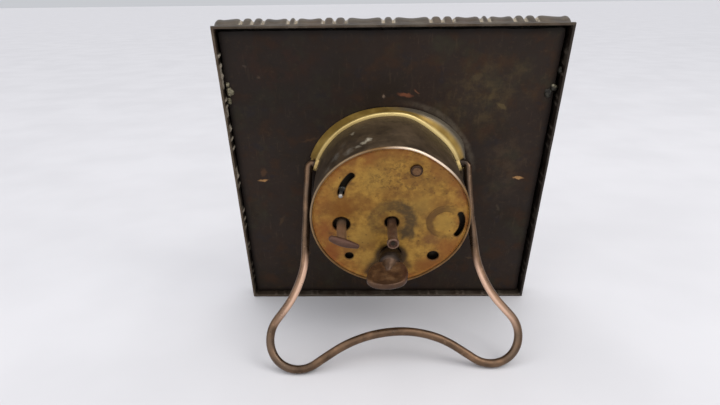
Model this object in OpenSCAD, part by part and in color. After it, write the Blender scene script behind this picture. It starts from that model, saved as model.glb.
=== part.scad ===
// Square table clock: a pressed brass plaque carries a round drum case with
// a wound movement, and a bent wire stand hinges on a strap round the drum.
// Everything is drawn in the plaque's own frame (x to the right seen from
// behind, y up the plaque, z out of its back) and then leaned back.

/* [Plaque] */
// Width and height of the square plaque over its rear lip
plaque_w = 120; // [116:1:124]
// Depth of the plaque from the rear lip to the crest of its border
plaque_d = 9.4; // [9:0.1:9.8]
// Angle by which the plaque leans back on its stand
lean = 13.2; // [12:0.1:14.5]

/* [Drum case] */
// Outer radius of the drum
drum_r = 28.6; // [28.6:0.1:29]
// Wall of the drum
drum_wall = 0.7; // [0.6:0.05:0.7]
// Rear rim of the drum, behind the rear lip of the plaque
drum_back = 26.2; // [26:0.1:27]
// How far the arbor axis lies below the drum's centre
axis_drop = 1.6; // [1.4:0.1:1.7]

/* [Stand] */
// Diameter of the stand wire
wire_d = 3.0; // [2.8:0.1:3]
// Reach of the stand from its pivot to the bottom of its two loops
stand_reach = 75; // [74:0.5:76]
// Half the distance between the two legs at the pivot
stand_half = 31.5; // [31.5:0.1:32]
// Height of the pivot up the plaque
pivot_y = 68.8; // [68:0.1:69]
// Distance of the pivot behind the rear lip
pivot_z = 1.2; // [1:0.1:1.4]
// Half the distance between the bottoms of the two loops
loop_x = 34.2; // [33:0.1:35]
// Radius of the two loops
loop_r = 10.6; // [10:0.1:11]
// Height of the arch between the loops, measured from the pivot
arch_t = 62.5; // [62:0.1:63]

/* [Movement] */
// Thickness of the two movement plates
plate_t = 1.2; // [1:0.1:1.4]
// Rear face of the front plate
front_plate_z = -0.8; // [-0.9:0.1:-0.7]
// Front face of the back plate
back_plate_z = 20.6; // [20.4:0.1:20.8]
// Teeth of the great wheel
great_teeth = 48; // [48:1:48]
// Teeth of the pinion on the centre wheel
centre_leaves = 12; // [12:1:12]

/* [Hidden] */
$fn = 48;
e = 0.01;

half = plaque_w / 2;
wire_r = wire_d / 2;
drum_c = [0, half];                       // drum centre on the plaque
drum_in = drum_r - drum_wall;
ax_c = [0, half - axis_drop];             // centre arbor
sheet_z = -2.4;                           // rear face of the back sheet
field_z = -5.2;                           // front face of the plaque's flat field
cover_z = drum_back - 1.0;                // rear face of the rear cover
cover_t = 0.6;

// stand geometry
pivot_h = pivot_y * cos(lean) - pivot_z * sin(lean);
stand_open = lean + acos((pivot_h - wire_r) / stand_reach);
y_shift = -23.32;                         // puts the origin under the middle of the box

// gear data: [teeth, module]
m_great = 0.46;  m_centre = 0.33; m_third = 0.30; m_fourth = 0.26;
m_motion = 0.40; m_hour = 0.48;
d_great = m_great * (great_teeth + centre_leaves) / 2;
d_centre = m_centre * 36;                 // 64 and 8
d_third = m_third * 34;                   // 60 and 8
d_fourth = m_fourth * 31;                 // 54 and 8
d_motion = m_motion * 24;                 // 12 and 36, and 36 and 12
function polar(r, a) = [r * cos(a), r * sin(a)];
a_third = -14; a_fourth = 76; a_escape = 140;
ax_w = ax_c + [0, -d_great];              // winding arbor
ax_t = ax_c + polar(d_centre, a_third);
ax_f = ax_t + polar(d_third, a_fourth);
ax_e = ax_f + polar(d_fourth, a_escape);
ax_s = ax_c + [-17.7, -0.7];              // side arbor of the setting key
ax_b = drum_c + [-6.4, 9.0];              // balance
s_len = norm(ax_s - ax_c);
s_ang = atan2(ax_s[1] - ax_c[1], ax_s[0] - ax_c[0]);
a_min = s_ang - acos(s_len / 2 / d_motion);   // direction of the minute wheel
ax_m = ax_c + polar(d_motion, a_min);
eb = ax_b - ax_e;
a_eb = atan2(eb[1], eb[0]);
escape_r = 4.6;
ax_l = ax_e + polar(6.2, a_eb);           // pallet lever
d_lb = norm(ax_b - ax_l);
pin_r = 1.5;                              // radius of the impulse pin's circle

// positions of the pillars round the drum's centre
pillar_pos = [drum_c + [-15.3, -16.5], drum_c + [15.3, -16.6], drum_c + [7.8, 19.6],
    drum_c + [-21.6, 7.0]];

reg_r = 11.2;                             // regulator tip and slot
reg_a = 171;                              // where the regulator tip stands
key_top = 18.3;                           // winding key beyond the rear cover

module place() translate([0, y_shift, 0]) rotate([-(90 + lean), 0, 0]) rotate([0, 0, 180]) children();
module at(p, z = 0) translate([p[0], p[1], z]) children();
module rod(r, z0, z1) translate([0, 0, z0]) cylinder(r = r, h = z1 - z0);
module ring(ro, ri, z0, z1) difference() { rod(ro, z0, z1); rod(ri, z0 - 1, z1 + 1); }

// ---- toothed wheels: radial flanks below the pitch circle, rolled tips above it
function epi_r(R, rho, b) = sqrt(pow(R + rho, 2) + rho * rho - 2 * (R + rho) * rho * cos(b));
function epi_a(R, rho, b) = rho / R * b - atan2(rho * sin(b), R + rho - rho * cos(b));
function epi_b(R, rho, h) = acos(max(-1, ((R + rho) * (R + rho) + rho * rho - (R + h) * (R + h)) / (2 * (R + rho) * rho)));
function gear_pts(z, m, rho, fill, add, ded) =
    let(R = z * m / 2, ht = 180 * fill / z, b1 = epi_b(R, rho, add), b0 = b1 * 0.6,
        ta = max(ht - epi_a(R, rho, b1), ht * 0.18), tm = max(ht - epi_a(R, rho, b0), ht * 0.3),
        rm = epi_r(R, rho, b0))
    [for (k = [0:z - 1]) let(c = 360 * k / z)
        each [polar(R - ded, c - ht), polar(R, c - ht), polar(rm, c - tm), polar(R + add, c - ta),
            polar(R + add, c + ta), polar(rm, c + tm), polar(R, c + ht), polar(R - ded, c + ht)]];
module wheel2d(z, m, mate) polygon(gear_pts(z, m, mate * m / 4, 0.44, 0.8 * m, 0.85 * m));
module pinion2d(z, m, mate) polygon(gear_pts(z, m, mate * m / 4, 0.36, 0.45 * m, 1.1 * m));
module wheel(z, m, mate, turn, z0, z1, bore) difference() {
    translate([0, 0, z0]) linear_extrude(z1 - z0) rotate(turn) wheel2d(z, m, mate);
    rod(bore, z0 - 1, z1 + 1);
}
// wheel with four openings between its spokes
module spoked(z, m, mate, turn, z0, z1, bore, hub, rim) difference() {
    wheel(z, m, mate, turn, z0, z1, bore);
    for (k = [0:3]) rotate(k * 90 + 45) translate([(hub + rim) / 2, 0, 0]) rod((rim - hub) / 2 - 0.25, z0 - 1, z1 + 1);
}
module pinion(z, m, mate, turn, z0, z1, bore) difference() {
    translate([0, 0, z0]) linear_extrude(z1 - z0) rotate(turn) pinion2d(z, m, mate);
    if (bore > 0) rod(bore, z0 - 1, z1 + 1);
}

// ---- plaque and case -------------------------------------------------------
// closed section of the pressed border, drawn in distance from the centre
border = [[60, 0], [60, -0.9], [59.7, -1.2], [60.1, -4.0], [60.5, -7.0], [60.5, -7.8], [60.1, -8.6],
    [59.2, -9.2], [57.8, -9.4], [56.2, -9.1], [54.6, -8.3], [52.8, -7.2], [51.0, -6.3], [49.2, -5.75],
    [47.6, -5.2], [46, -5.2], [46, -4.2], [48.3, -4.35], [50.5, -5.1], [52.3, -5.9], [54.1, -7.0],
    [55.8, -8.0], [57.4, -8.45], [58.7, -8.2], [59.4, -7.4], [59.5, -6.6], [59.2, -4.0], [59.1, -1.2], [59.15, 0]];
corner_r = 2.4;                           // rounding of the border's corners in front of the lip
module rounded_square(h, r) union() {
    square([2 * h, 2 * (h - r)], center = true);
    square([2 * (h - r), 2 * h], center = true);
    for (x = [-1, 1], y = [-1, 1]) translate([x * (h - r), y * (h - r)]) circle(r = r);
}
module plaque() place() color([0.66, 0.50, 0.28]) {
    s = half / 60;
    intersection() {
        at(drum_c) rotate(45) rotate_extrude($fn = 4)
            polygon([for (p = border) [p[0] * s * sqrt(2), p[1] * plaque_d / 9.4]]);
        // the lip keeps its square corners
        union() {
            translate([-61 * s, half - 61 * s, -1.05]) cube([122 * s, 122 * s, 3]);
            at(drum_c, -12) linear_extrude(11.05) rounded_square(60.56 * s, corner_r);
        }
    }
    translate([0, half, field_z]) difference() {
        translate([-46.6 * s, -46.6 * s, 0.1]) cube([93.2 * s, 93.2 * s, 0.8]);
        rod(drum_r + 0.15, -1, 2);
    }
}
// the sheet sits a little low and to the left in the tray
module back_sheet() place() color([0.20, 0.16, 0.15]) difference() {
    translate([-0.4 - 58.3, half - 0.6 - 58.3, sheet_z - 0.5]) cube([116.6, 116.6, 0.5]);
    at(drum_c) rod(drum_r + 0.1, sheet_z - 1, sheet_z + 1);
}
// two dabs of solder in the upper corners of the tray
module solder_tacks() place() color([0.55, 0.52, 0.48])
    for (s = [-1, 1]) translate([s * 57.5, 96.2, sheet_z]) difference() {
        translate([0, 0, -0.2]) sphere(r = 1.7, $fn = 24);
        translate([-5, -5, -5]) cube([10, 10, 5]);
        translate([s > 0 ? 1.58 : -11.58, -5, -1]) cube([10, 10, 5]);
    }
module drum_case() place() color([0.24, 0.20, 0.17]) at(drum_c) difference() {
    union() {
        rotate_extrude() polygon([[drum_in, field_z], [drum_r, field_z], [drum_r, drum_back - 0.5],
            [drum_r - 0.35, drum_back], [drum_in - 0.5, drum_back], [drum_in - 0.8, drum_back - 0.3],
            [drum_in - 0.8, drum_back - 0.6], [drum_in, drum_back - 0.6]]);
    }
    translate([0, pivot_y - half, pivot_z]) rotate([0, 90, 0]) cylinder(r = wire_r + 0.06, h = 80, center = true);
}
// half ring over the drum, with an ear at each end for the stand
strap_in = drum_r + 0.05;
strap_t = 1.2;
module retaining_strap() place() color([0.72, 0.60, 0.33]) at(drum_c) difference() {
    union() {
        difference() {
            ring(strap_in + strap_t, strap_in, sheet_z, 2.4);
            translate([-40, -40 + pivot_y - half, sheet_z - 1]) cube([80, 40, 10]);
        }
        intersection() {
            ring(strap_in + strap_t, strap_in, sheet_z, 4.4);
            translate([0, pivot_y - half, pivot_z]) rotate([0, 90, 0]) cylinder(r = 2.7, h = 80, center = true);
        }
    }
    translate([0, pivot_y - half, pivot_z]) rotate([0, 90, 0]) cylinder(r = wire_r + 0.06, h = 80, center = true);
}

// ---- stand: one wire, bent of straight lengths and arcs ---------------------
bend_r = 2.2;
splay_r = 32; splay_a = 40;                 // outward bend of each leg
foot_t = stand_reach - loop_r;              // centre of each loop
rise_a = 33;                                // slope of the wire leaving a loop
p_loop = [loop_x + loop_r * cos(splay_a), foot_t - loop_r * sin(splay_a)];
splay_l = (p_loop[0] - stand_half - splay_r * (1 - cos(splay_a))) / sin(splay_a);
splay_t = p_loop[1] - splay_l * cos(splay_a) - splay_r * sin(splay_a);
p_splay = [stand_half + splay_r * (1 - cos(splay_a)), splay_t + splay_r * sin(splay_a)];
p_rise = [loop_x - loop_r * sin(rise_a), foot_t + loop_r * cos(rise_a)];
// the arch springs from the two rises with one arc
arch_l = (p_rise[1] - arch_t - p_rise[0] * tan(rise_a / 2)) / (sin(rise_a) - cos(rise_a) * tan(rise_a / 2));
arch_r = (p_rise[0] - arch_l * cos(rise_a)) / sin(rise_a);
p_arch = [arch_r * sin(rise_a), arch_t + arch_r * (1 - cos(rise_a))];
// right half of the wire's centre line, from the pin to the middle of the arch:
// [x, distance from the pivot, heading, wire radius]
pin_end = stand_half - bend_r - 0.3;
half_path = concat(
    [[pin_end - 0.3, 0, 0, wire_r - 0.1]],
    [for (k = [0:5]) let(a = -90 + 18 * k) [stand_half - bend_r + bend_r * cos(a), bend_r + bend_r * sin(a), a + 90, wire_r]],
    [for (k = [0:6]) let(a = 180 - splay_a * k / 6) [stand_half + splay_r + splay_r * cos(a), splay_t + splay_r * sin(a), a - 90, wire_r]],
    [for (k = [0:14]) let(a = -splay_a + (90 + rise_a + splay_a) * k / 14) [loop_x + loop_r * cos(a), foot_t + loop_r * sin(a), a + 90, wire_r]],
    [for (k = [0:4]) let(a = -90 + rise_a - rise_a * k / 5) [arch_r * cos(a), arch_t + arch_r + arch_r * sin(a), a - 90, wire_r]]);
wire_path = concat(half_path, [[0, arch_t, -180, wire_r]],
    [for (k = [len(half_path) - 1:-1:0]) let(p = half_path[k]) [-p[0], p[1], -p[2], p[3]]]);
sides = 16;
module stand_wire() place() color([0.45, 0.33, 0.26])
    translate([0, pivot_y, pivot_z]) rotate([-(stand_open), 0, 0]) rotate([180, 0, 0]) {
        n = len(wire_path);
        polyhedron(
            points = [for (p = wire_path) for (j = [0:sides - 1]) let(q = 360 * j / sides)
                [p[0] - p[3] * cos(q) * sin(p[2]), p[1] + p[3] * cos(q) * cos(p[2]), p[3] * sin(q)]],
            faces = concat([[for (j = [0:sides - 1]) j]],
                [for (i = [0:n - 2]) for (j = [0:sides - 1]) let(k = (j + 1) % sides)
                    each [[i * sides + j, (i + 1) * sides + j, (i + 1) * sides + k], [i * sides + j, (i + 1) * sides + k, i * sides + k]]],
                [[for (j = [sides - 1:-1:0]) (n - 1) * sides + j]]));
        for (s = [0, 1]) mirror([s, 0, 0]) translate([26.3, 0, 0]) rotate([0, 90, 0]) cylinder(r = wire_r, h = pin_end - 26.3);
    }

// ---- rear cover -------------------------------------------------------------
// curved slot with round ends, as one outline
module arc_slot(r, w, a0, a1, h) linear_extrude(h) polygon(concat(
    [for (k = [0:12]) polar(r + w / 2, a0 + (a1 - a0) * k / 12)],
    [for (k = [1:7]) polar(r, a1) + polar(w / 2, a1 + 180 * k / 8)],
    [for (k = [12:-1:0]) polar(r - w / 2, a0 + (a1 - a0) * k / 12)],
    [for (k = [1:7]) polar(r, a0) + polar(w / 2, a0 + 180 + 180 * k / 8)]));
module rear_cover() place() color([0.72, 0.52, 0.22]) difference() {
    at(drum_c) rod(drum_in - 0.05, cover_z - cover_t, cover_z);
    at(ax_c) rod(2.53, 20, 30);
    at(ax_s) rod(3.06, 20, 30);
    at(ax_w) rod(3.5, 20, 30);
    at(drum_c + [-15.3, -16.5]) rod(1.57, 20, 30);
    at(drum_c + [15.3, -16.6]) rod(2.1, 20, 30);
    at(pillar_pos[2]) rod(1.1, 20, 30);
    at(ax_b, cover_z - 2) arc_slot(reg_r, 2.0, 131, 172, 4);
    at(drum_c + [16.7, -2.1], cover_z - 2) arc_slot(8.1, 1.9, -37, 28, 4);
}
module cover_screw() place() color([0.35, 0.33, 0.32]) at(pillar_pos[2]) difference() {
    union() {
        rotate_extrude() polygon([[0, cover_z], [2.15, cover_z], [2.15, cover_z + 0.7], [1.7, cover_z + 1.2], [0, cover_z + 1.4]]);
        rod(1.0, cover_z - 2.8, cover_z);
    }
    translate([-3, -0.25, cover_z + 0.8]) cube([6, 0.5, 2]);
}

// ---- front: bezel, crystal, dial --------------------------------------------
dial_r = 26.8;
module bezel() place() color([0.74, 0.58, 0.30]) at(ax_c) rotate_extrude()
    polygon([[27.0, field_z], [32.6, field_z], [32.6, -5.8], [31.6, -6.6], [30.9, -7.9], [29.6, -9.1],
        [28.2, -9.6], [26.9, -9.5], [26.1, -9.1], [26.1, -8.85], [27.6, -8.85], [27.6, -7.65], [27.0, -7.65]]);
function dome(r, z0) = z0 - 1.8 * (1 - pow(r / 26, 2));
module crystal() place() color([0.80, 0.86, 0.88, 0.4]) at(ax_c) rotate_extrude()
    polygon(concat([[27.5, -8.8]], [for (k = [0:10]) [26 - 2.6 * k, dome(26 - 2.6 * k, -8.8)]],
        [for (k = [10:-1:0]) [26 - 2.6 * k, dome(26 - 2.6 * k, -7.7)]], [[27.5, -7.7]]));
dial_foot = [ax_c + [0, 20], ax_c + [20, -6]];
module dial() place() color([0.93, 0.91, 0.84]) {
    at(ax_c) ring(dial_r, 2.3, -5.9, -5.4);
    for (p = dial_foot) at(p) rod(0.7, -5.4 - e, -0.9);
}

// ---- movement frame ----------------------------------------------------------
pivot_hole = 0.65;
module plate_holes(z0, z1) {
    for (p = [ax_t, ax_f, ax_e, ax_l]) at(p) rod(0.55, z0, z1);
    at(ax_b) rod(1.2, z0, z1);
    at(ax_c) rod(0.86, z0, z1);
    at(ax_s) rod(0.86, z0, z1);
    at(ax_w) rod(2.05, z0, z1);
    for (p = pillar_pos) at(p) rod(0.9, z0, z1);
}
module front_plate() place() color([0.70, 0.55, 0.30]) difference() {
    at(drum_c) rod(drum_in - 0.03, front_plate_z - plate_t, front_plate_z);
    plate_holes(-5, 3);
    at(ax_m) rod(0.6, -5, 3);
    for (p = dial_foot) at(p) rod(0.72, -5, 3);
}
module back_plate() place() color([0.70, 0.55, 0.30]) difference() {
    at(drum_c) rod(26.4, back_plate_z, back_plate_z + plate_t);
    plate_holes(18, 25);
    at(ax_b + [4.4, -1.5]) rod(0.5, 18, 25);
}
module pillars() place() color([0.68, 0.56, 0.34]) for (k = [0:3]) at(pillar_pos[k]) difference() {
    union() {
        rod(1.6, front_plate_z, back_plate_z);
        rod(0.9, front_plate_z - plate_t - 1.1, front_plate_z);
        rod(0.9, back_plate_z, back_plate_z + plate_t + (k == 2 ? 0.1 : 1.1));
        if (k == 2) rod(1.8, back_plate_z + plate_t, cover_z - cover_t);
    }
    if (k == 2) rod(1.0, cover_z - 3.0, cover_z);
}
module nut(z0) ring(1.9, 0.9, z0, z0 + 1.0);
module pillar_nuts() place() color([0.60, 0.50, 0.32]) for (k = [0:3]) at(pillar_pos[k]) {
    nut(front_plate_z - plate_t - 1.0);
    if (k != 2) nut(back_plate_z + plate_t);
}

// ---- winding and great wheel --------------------------------------------------
great_z = 9.6;
// spiral strip round the winding arbor with its tail on a pillar
spring_in = 2.9; spring_turns = 7; spring_out = 9.6;
function spiral(r0, r1, n, t) = polar(r0 + (r1 - r0) * t / n, 360 * t);
tail = pillar_pos[0] - ax_w;
tail_a = atan2(tail[1], tail[0]);
module mainspring() place() color([0.28, 0.30, 0.34]) at(ax_w) {
    st = 0.35;
    inner = [for (k = [0:spring_turns * 18]) let(t = k / 18, p = spiral(spring_in, spring_out, spring_turns, t)) p];
    outer = [for (k = [spring_turns * 18:-1:0]) let(t = k / 18, p = spiral(spring_in + st, spring_out + st, spring_turns, t)) p];
    translate([0, 0, 11.8]) linear_extrude(7.8) rotate(tail_a - 25) polygon(concat(inner, outer));
    // tail, from the last coil to an eye round the pillar
    translate([0, 0, 11.8]) linear_extrude(7.8) difference() {
        union() {
            translate(tail) circle(r = 2.1);
            polygon([polar(9.7, tail_a - 25), polar(norm(tail) - 1.8, tail_a - 4), polar(norm(tail) - 1.2, tail_a - 5.5), polar(9.95, tail_a - 28)]);
        }
        translate(tail) circle(r = 1.62);
    }
}
click_pos = ax_w + polar(8.4, 100);
module great_wheel() place() color([0.76, 0.60, 0.32]) at(ax_w) difference() {
    wheel(great_teeth, m_great, centre_leaves, 90, great_z, great_z + 1.2, 2.05);
    at(click_pos - ax_w) rod(0.7, 0, 20);
    for (k = [0:4]) rotate(190 + 40 * k) translate([7.2, 0, 0]) rod(1.8, 0, 20);
}
ratchet_r = 5.6;
module ratchet_wheel() place() color([0.50, 0.50, 0.52]) at(ax_w) difference() {
    translate([0, 0, great_z - 1.4]) linear_extrude(1.2) rotate(ratchet_turn)
        polygon([for (k = [0:15]) each [polar(ratchet_r, k * 22.5), polar(ratchet_r - 1.0, k * 22.5 + 3)]]);
    translate([-1.4, -1.4, 0]) cube([2.8, 2.8, 20]);
}
ratchet_turn = 100 - 22.5 * 2 + 5;
// pawl: a thin arm lying against one ratchet tooth
module click() place() color([0.45, 0.45, 0.47]) at(click_pos, great_z - 1.4) {
    difference() {
        union() {
            cylinder(r = 1.5, h = 1.1);
            linear_extrude(1.1) polygon([polar(1.45, 100), polar(1.45, 230), click_tip, click_tip + [-0.5, 0.9]]);
        }
        translate([0, 0, -1]) cylinder(r = 0.75, h = 4);
    }
}
click_tip = ax_w + polar(5.75, 138) - click_pos;
module click_screw() place() color([0.45, 0.44, 0.43]) at(click_pos) {
    rod(0.7, great_z - 1.45, great_z + 1.2);
    rod(1.3, great_z - 2.1, great_z - 1.45);
}
// flat spring fixed on the great wheel's rim, its free end just clear of the pawl
module click_spring() place() color([0.35, 0.36, 0.40]) at(ax_w, great_z - 1.2) linear_extrude(0.8)
    polygon(concat([for (k = [0:8]) polar(9.9 + 0.08 * k, 118 + 6 * k)], [for (k = [8:-1:0]) polar(9.65 + 0.08 * k, 118 + 6 * k)]));
module winding_arbor() place() color([0.55, 0.54, 0.53]) at(ax_w) {
    rod(2.0, front_plate_z - plate_t, great_z - 1.4);
    translate([-1.4, -1.4, great_z - 1.4 - e]) cube([2.8, 2.8, 1.2 + 2 * e]);
    rod(2.0, great_z - 0.2, back_plate_z + plate_t + 1.2);
    translate([-1.3, -1.3, back_plate_z + plate_t + 1.2 - e]) cube([2.6, 2.6, 9]);
}
// wing key: a tapered hub and two rounded wings in one flat plane
key_z0 = back_plate_z + plate_t + 1.3;
key_z1 = cover_z + key_top;
module winding_key() place() color([0.52, 0.38, 0.26]) at(ax_w) difference() {
    union() {
        rotate_extrude() polygon([[0, key_z0], [2.8, key_z0], [2.85, cover_z + 4], [2.5, cover_z + 7], [1.6, cover_z + 12], [0, cover_z + 12]]);
        translate([0, 1.2, 0]) rotate([90, 0, 0]) linear_extrude(2.4) {
            for (s = [-1, 1]) translate([s * 3.0, cover_z + 10.2]) circle(r = 4.1);
            translate([0, cover_z + 12.6]) circle(r = 5.7);
            translate([-5.6, cover_z + 8.4]) square([11.2, 5]);
        }
    }
    translate([-1.33, -1.33, key_z0 - 1]) cube([2.66, 2.66, 10]);
}

// ---- centre arbor, motion work and hands --------------------------------------
module centre_wheel() place() color([0.76, 0.60, 0.32]) at(ax_c) {
    spoked(64, m_centre, 8, a_third, 5.0, 5.7, 0.86, 2.6, 9.3);
    pinion(centre_leaves, m_great, great_teeth, 90 + 15, great_z - 0.1, great_z + 1.3, 0.86);
    ring(1.7, 0.86, 5.7 - e, great_z - 0.1 + e);
}
module centre_arbor() place() color([0.60, 0.59, 0.58]) at(ax_c) rod(0.8, -8.7, cover_z + 12.0);
module set_button() place() color([0.55, 0.42, 0.32]) at(ax_c) difference() {
    rotate_extrude() polygon([[0.8, back_plate_z + plate_t + 0.2], [1.65, back_plate_z + plate_t + 0.2], [1.65, cover_z + 10.4],
        [2.05, cover_z + 11.0], [2.05, cover_z + 12.2], [1.8, cover_z + 12.5], [1.2, cover_z + 12.5], [1.1, cover_z + 12.0], [0.8, cover_z + 12.0]]);
}
module cannon_pinion() place() color([0.62, 0.60, 0.56]) at(ax_c) {
    pinion(12, m_motion, 36, a_min + 15, -3.4, -2.3, 0.8);
    ring(1.25, 0.8, -8.3, -3.4 + e);
}
module minute_wheel() place() color([0.76, 0.60, 0.32]) at(ax_m) {
    wheel(36, m_motion, 12, a_min + 180, -3.3, -2.4, 0.65);
    pinion(8, m_hour, 32, a_min + 180 + 22.5, -4.9, -3.3 + e, 0.65);
}
module minute_wheel_stud() place() color([0.60, 0.59, 0.58]) at(ax_m) {
    rod(0.6, -5.2, front_plate_z);
}
module hour_wheel() place() color([0.76, 0.60, 0.32]) at(ax_c) {
    wheel(32, m_hour, 8, a_min, -4.8, -3.7, 1.30);
    ring(1.85, 1.30, -7.3, -4.8 + e);
}
// pointed hand with a round eye
module hand(len, tail, w, z0, t, eye, bore) difference() {
    union() {
        rod(eye, z0, z0 + t);
        translate([0, 0, z0]) linear_extrude(t)
            polygon([[-w * 0.6, -tail], [-w * 0.5, 0], [-w * 0.75, len * 0.55], [0, len], [w * 0.75, len * 0.55], [w * 0.5, 0], [w * 0.6, -tail]]);
    }
    rod(bore, z0 - 1, z0 + t + 1);
}
// hands stand at ten past ten; from behind the angles run the other way
minute_at = 60; hour_at = -55;
module minute_hand() place() color([0.12, 0.12, 0.14]) at(ax_c) rotate(minute_at) hand(21, 5, 1.5, -8.05, 0.3, 2.1, 1.25);
module hour_hand() place() color([0.12, 0.12, 0.14]) at(ax_c) rotate(hour_at) hand(14.5, 4, 2.0, -7.25, 0.3, 2.7, 1.85);
module set_arbor() place() color([0.60, 0.59, 0.58]) at(ax_s) {
    rod(0.8, -3.9, cover_z + 8.6);
    pinion(12, m_motion, 36, s_turn + 15 - 3 * (a_min - s_turn), -3.4, -2.3, 0);
    rod(1.5, 0, 0.6);
}
s_turn = atan2(ax_m[1] - ax_s[1], ax_m[0] - ax_s[0]);
module set_key() place() color([0.50, 0.36, 0.28]) at(ax_s) difference() {
    union() {
        rod(1.7, back_plate_z + plate_t + 0.2, cover_z + 10.6);
        translate([0.6, 0, cover_z + 10.6]) rotate(-23) rotate([0, 90, 0]) cylinder(r = 1.35, h = 10.4, center = true);
        for (s = [-1, 1]) translate([0.6, 0, cover_z + 10.6]) rotate(-23) translate([s * 5.2, 0, 0]) sphere(r = 1.35);
    }
    rod(0.8, 15, cover_z + 8.6);
}

// ---- train ---------------------------------------------------------------------
arb0 = front_plate_z - plate_t; arb1 = back_plate_z + plate_t;
module third_arbor() place() color([0.60, 0.59, 0.58]) at(ax_t) {
    rod(0.5, arb0, arb1);
    pinion(8, m_centre, 64, a_third + 180 + 22.5, 4.7, 6.0, 0);
}
module third_wheel() place() color([0.76, 0.60, 0.32]) at(ax_t) spoked(60, m_third, 8, a_fourth, 2.6, 3.3, 0.5, 2.4, 7.6);
module fourth_arbor() place() color([0.60, 0.59, 0.58]) at(ax_f) {
    rod(0.5, arb0, arb1);
    pinion(8, m_third, 60, a_fourth + 180 + 22.5, 2.3, 3.6, 0);
}
module fourth_wheel() place() color([0.76, 0.60, 0.32]) at(ax_f) spoked(54, m_fourth, 8, a_escape, 12.8, 13.4, 0.5, 2.0, 5.8);
module escape_arbor() place() color([0.60, 0.59, 0.58]) at(ax_e) {
    rod(0.5, arb0, arb1);
    pinion(8, m_fourth, 54, a_escape + 180 + 22.5, 12.5, 13.7, 0);
}
// fifteen pointed teeth; the gap between two of them faces each pallet pin
esc_turn = a_eb;
module escape_wheel() place() color([0.76, 0.60, 0.32]) at(ax_e) difference() {
    translate([0, 0, 8.0]) linear_extrude(0.8) rotate(esc_turn)
        polygon([for (k = [0:14]) each [polar(escape_r, k * 24), polar(escape_r - 0.2, k * 24 + 2.2), polar(escape_r - 1.5, k * 24 + 3.4), polar(escape_r - 1.5, k * 24 + 16)]]);
    rod(0.5, 5, 12);
}

// ---- lever and balance -----------------------------------------------------------
// the two pallet pins stand just clear of the wheel's tips, over a gap each
pal_r = escape_r + 0.42;
pal_a = 36;
module pallet_lever() place() color([0.62, 0.52, 0.34]) at(ax_l) {
    difference() {
        translate([0, 0, 9.2]) linear_extrude(0.7) difference() {
            union() {
                circle(r = 1.5);
                // arms to the two pins
                for (s = [-1, 1]) polygon([[0, 0] + polar(1.2, a_eb + 90 * s + 30 * s), (ax_e - ax_l) + polar(pal_r - 0.55, a_eb + s * (pal_a + 4)),
                    (ax_e - ax_l) + polar(pal_r + 0.65, a_eb + s * (pal_a + 2)), [0, 0] + polar(1.2, a_eb + 20 * s)]);
                // tail with the fork
                rotate(a_eb) translate([0, -0.7]) square([d_lb - pin_r - 1.4, 1.4]);
                rotate(a_eb) translate([d_lb - pin_r - 2.2, -1.2]) square([2.6, 2.4]);
            }
            rotate(a_eb) translate([d_lb - pin_r - 0.7, -0.42]) square([3, 0.84]);
        }
        rod(0.5, 5, 12);
    }
    for (s = [-1, 1]) at((ax_e - ax_l) + polar(pal_r, a_eb + s * pal_a)) rod(0.3, 7.6, 9.2 + e);
}
module pallet_arbor() place() color([0.60, 0.59, 0.58]) at(ax_l) rod(0.5, arb0, arb1);
bal_z = 15.2;
module balance_wheel() place() color([0.78, 0.62, 0.34]) at(ax_b) {
    ring(7.2, 6.1, bal_z, bal_z + 1.2);
    difference() {
        union() { rod(1.6, bal_z + 0.2, bal_z + 1.0); translate([-6.3, -0.5, bal_z + 0.3]) cube([12.6, 1.0, 0.6]); }
        rod(0.6, 10, 20);
    }
}
module balance_staff() place() color([0.60, 0.59, 0.58]) at(ax_b) {
    rotate_extrude() polygon([[0, 0.95], [0.15, 0.95], [0.6, 1.8], [0.6, 18.8], [0.15, 19.65], [0, 19.65]]);
    // roller with its impulse pin, which drops into the fork of the lever
    rod(2.0, 10.4, 11.0);
    rotate(a_eb + 180) translate([pin_r, 0, 0]) rod(0.32, 9.1, 10.4 + e);
}
module hairspring() place() color([0.30, 0.34, 0.48]) at(ax_b) {
    n = 6; r0 = 1.0; r1 = 4.6; w = 0.12;
    translate([0, 0, 17.2]) linear_extrude(0.6) rotate(-19) polygon(concat(
        [for (k = [0:n * 20]) spiral(r0, r1, n, k / 20)], [for (k = [n * 20:-1:0]) spiral(r0 + w, r1 + w, n, k / 20)]));
}
module hairspring_stud() place() color([0.60, 0.59, 0.58]) at(ax_b) difference() {
    translate([4.4, -1.5, 0]) rod(0.5, 17.0, back_plate_z + plate_t);
    // slot that takes the spring's outer end
    rotate(-19) translate([4.55, -1, 17.1]) cube([0.22, 2, 0.8]);
}
module balance_screws() place() color([0.50, 0.48, 0.46]) at(ax_b) {
    difference() {
        rod(1.2, front_plate_z - plate_t - 0.3, 1.2);
        translate([0, 0, 0.9]) cylinder(r1 = 0.15, r2 = 0.6, h = 0.8);
        translate([-2, -0.2, front_plate_z - plate_t - 1.3]) cube([4, 0.4, 1.4]);
    }
    difference() {
        union() { rod(1.2, 19.4, back_plate_z + plate_t + 0.9); rod(2.0, back_plate_z + plate_t, back_plate_z + plate_t + 1.0); }
        translate([0, 0, 18.9]) cylinder(r1 = 0.6, r2 = 0.15, h = 0.8);
        translate([-3, -0.2, back_plate_z + plate_t + 0.5]) cube([6, 0.4, 1.4]);
    }
}
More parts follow.
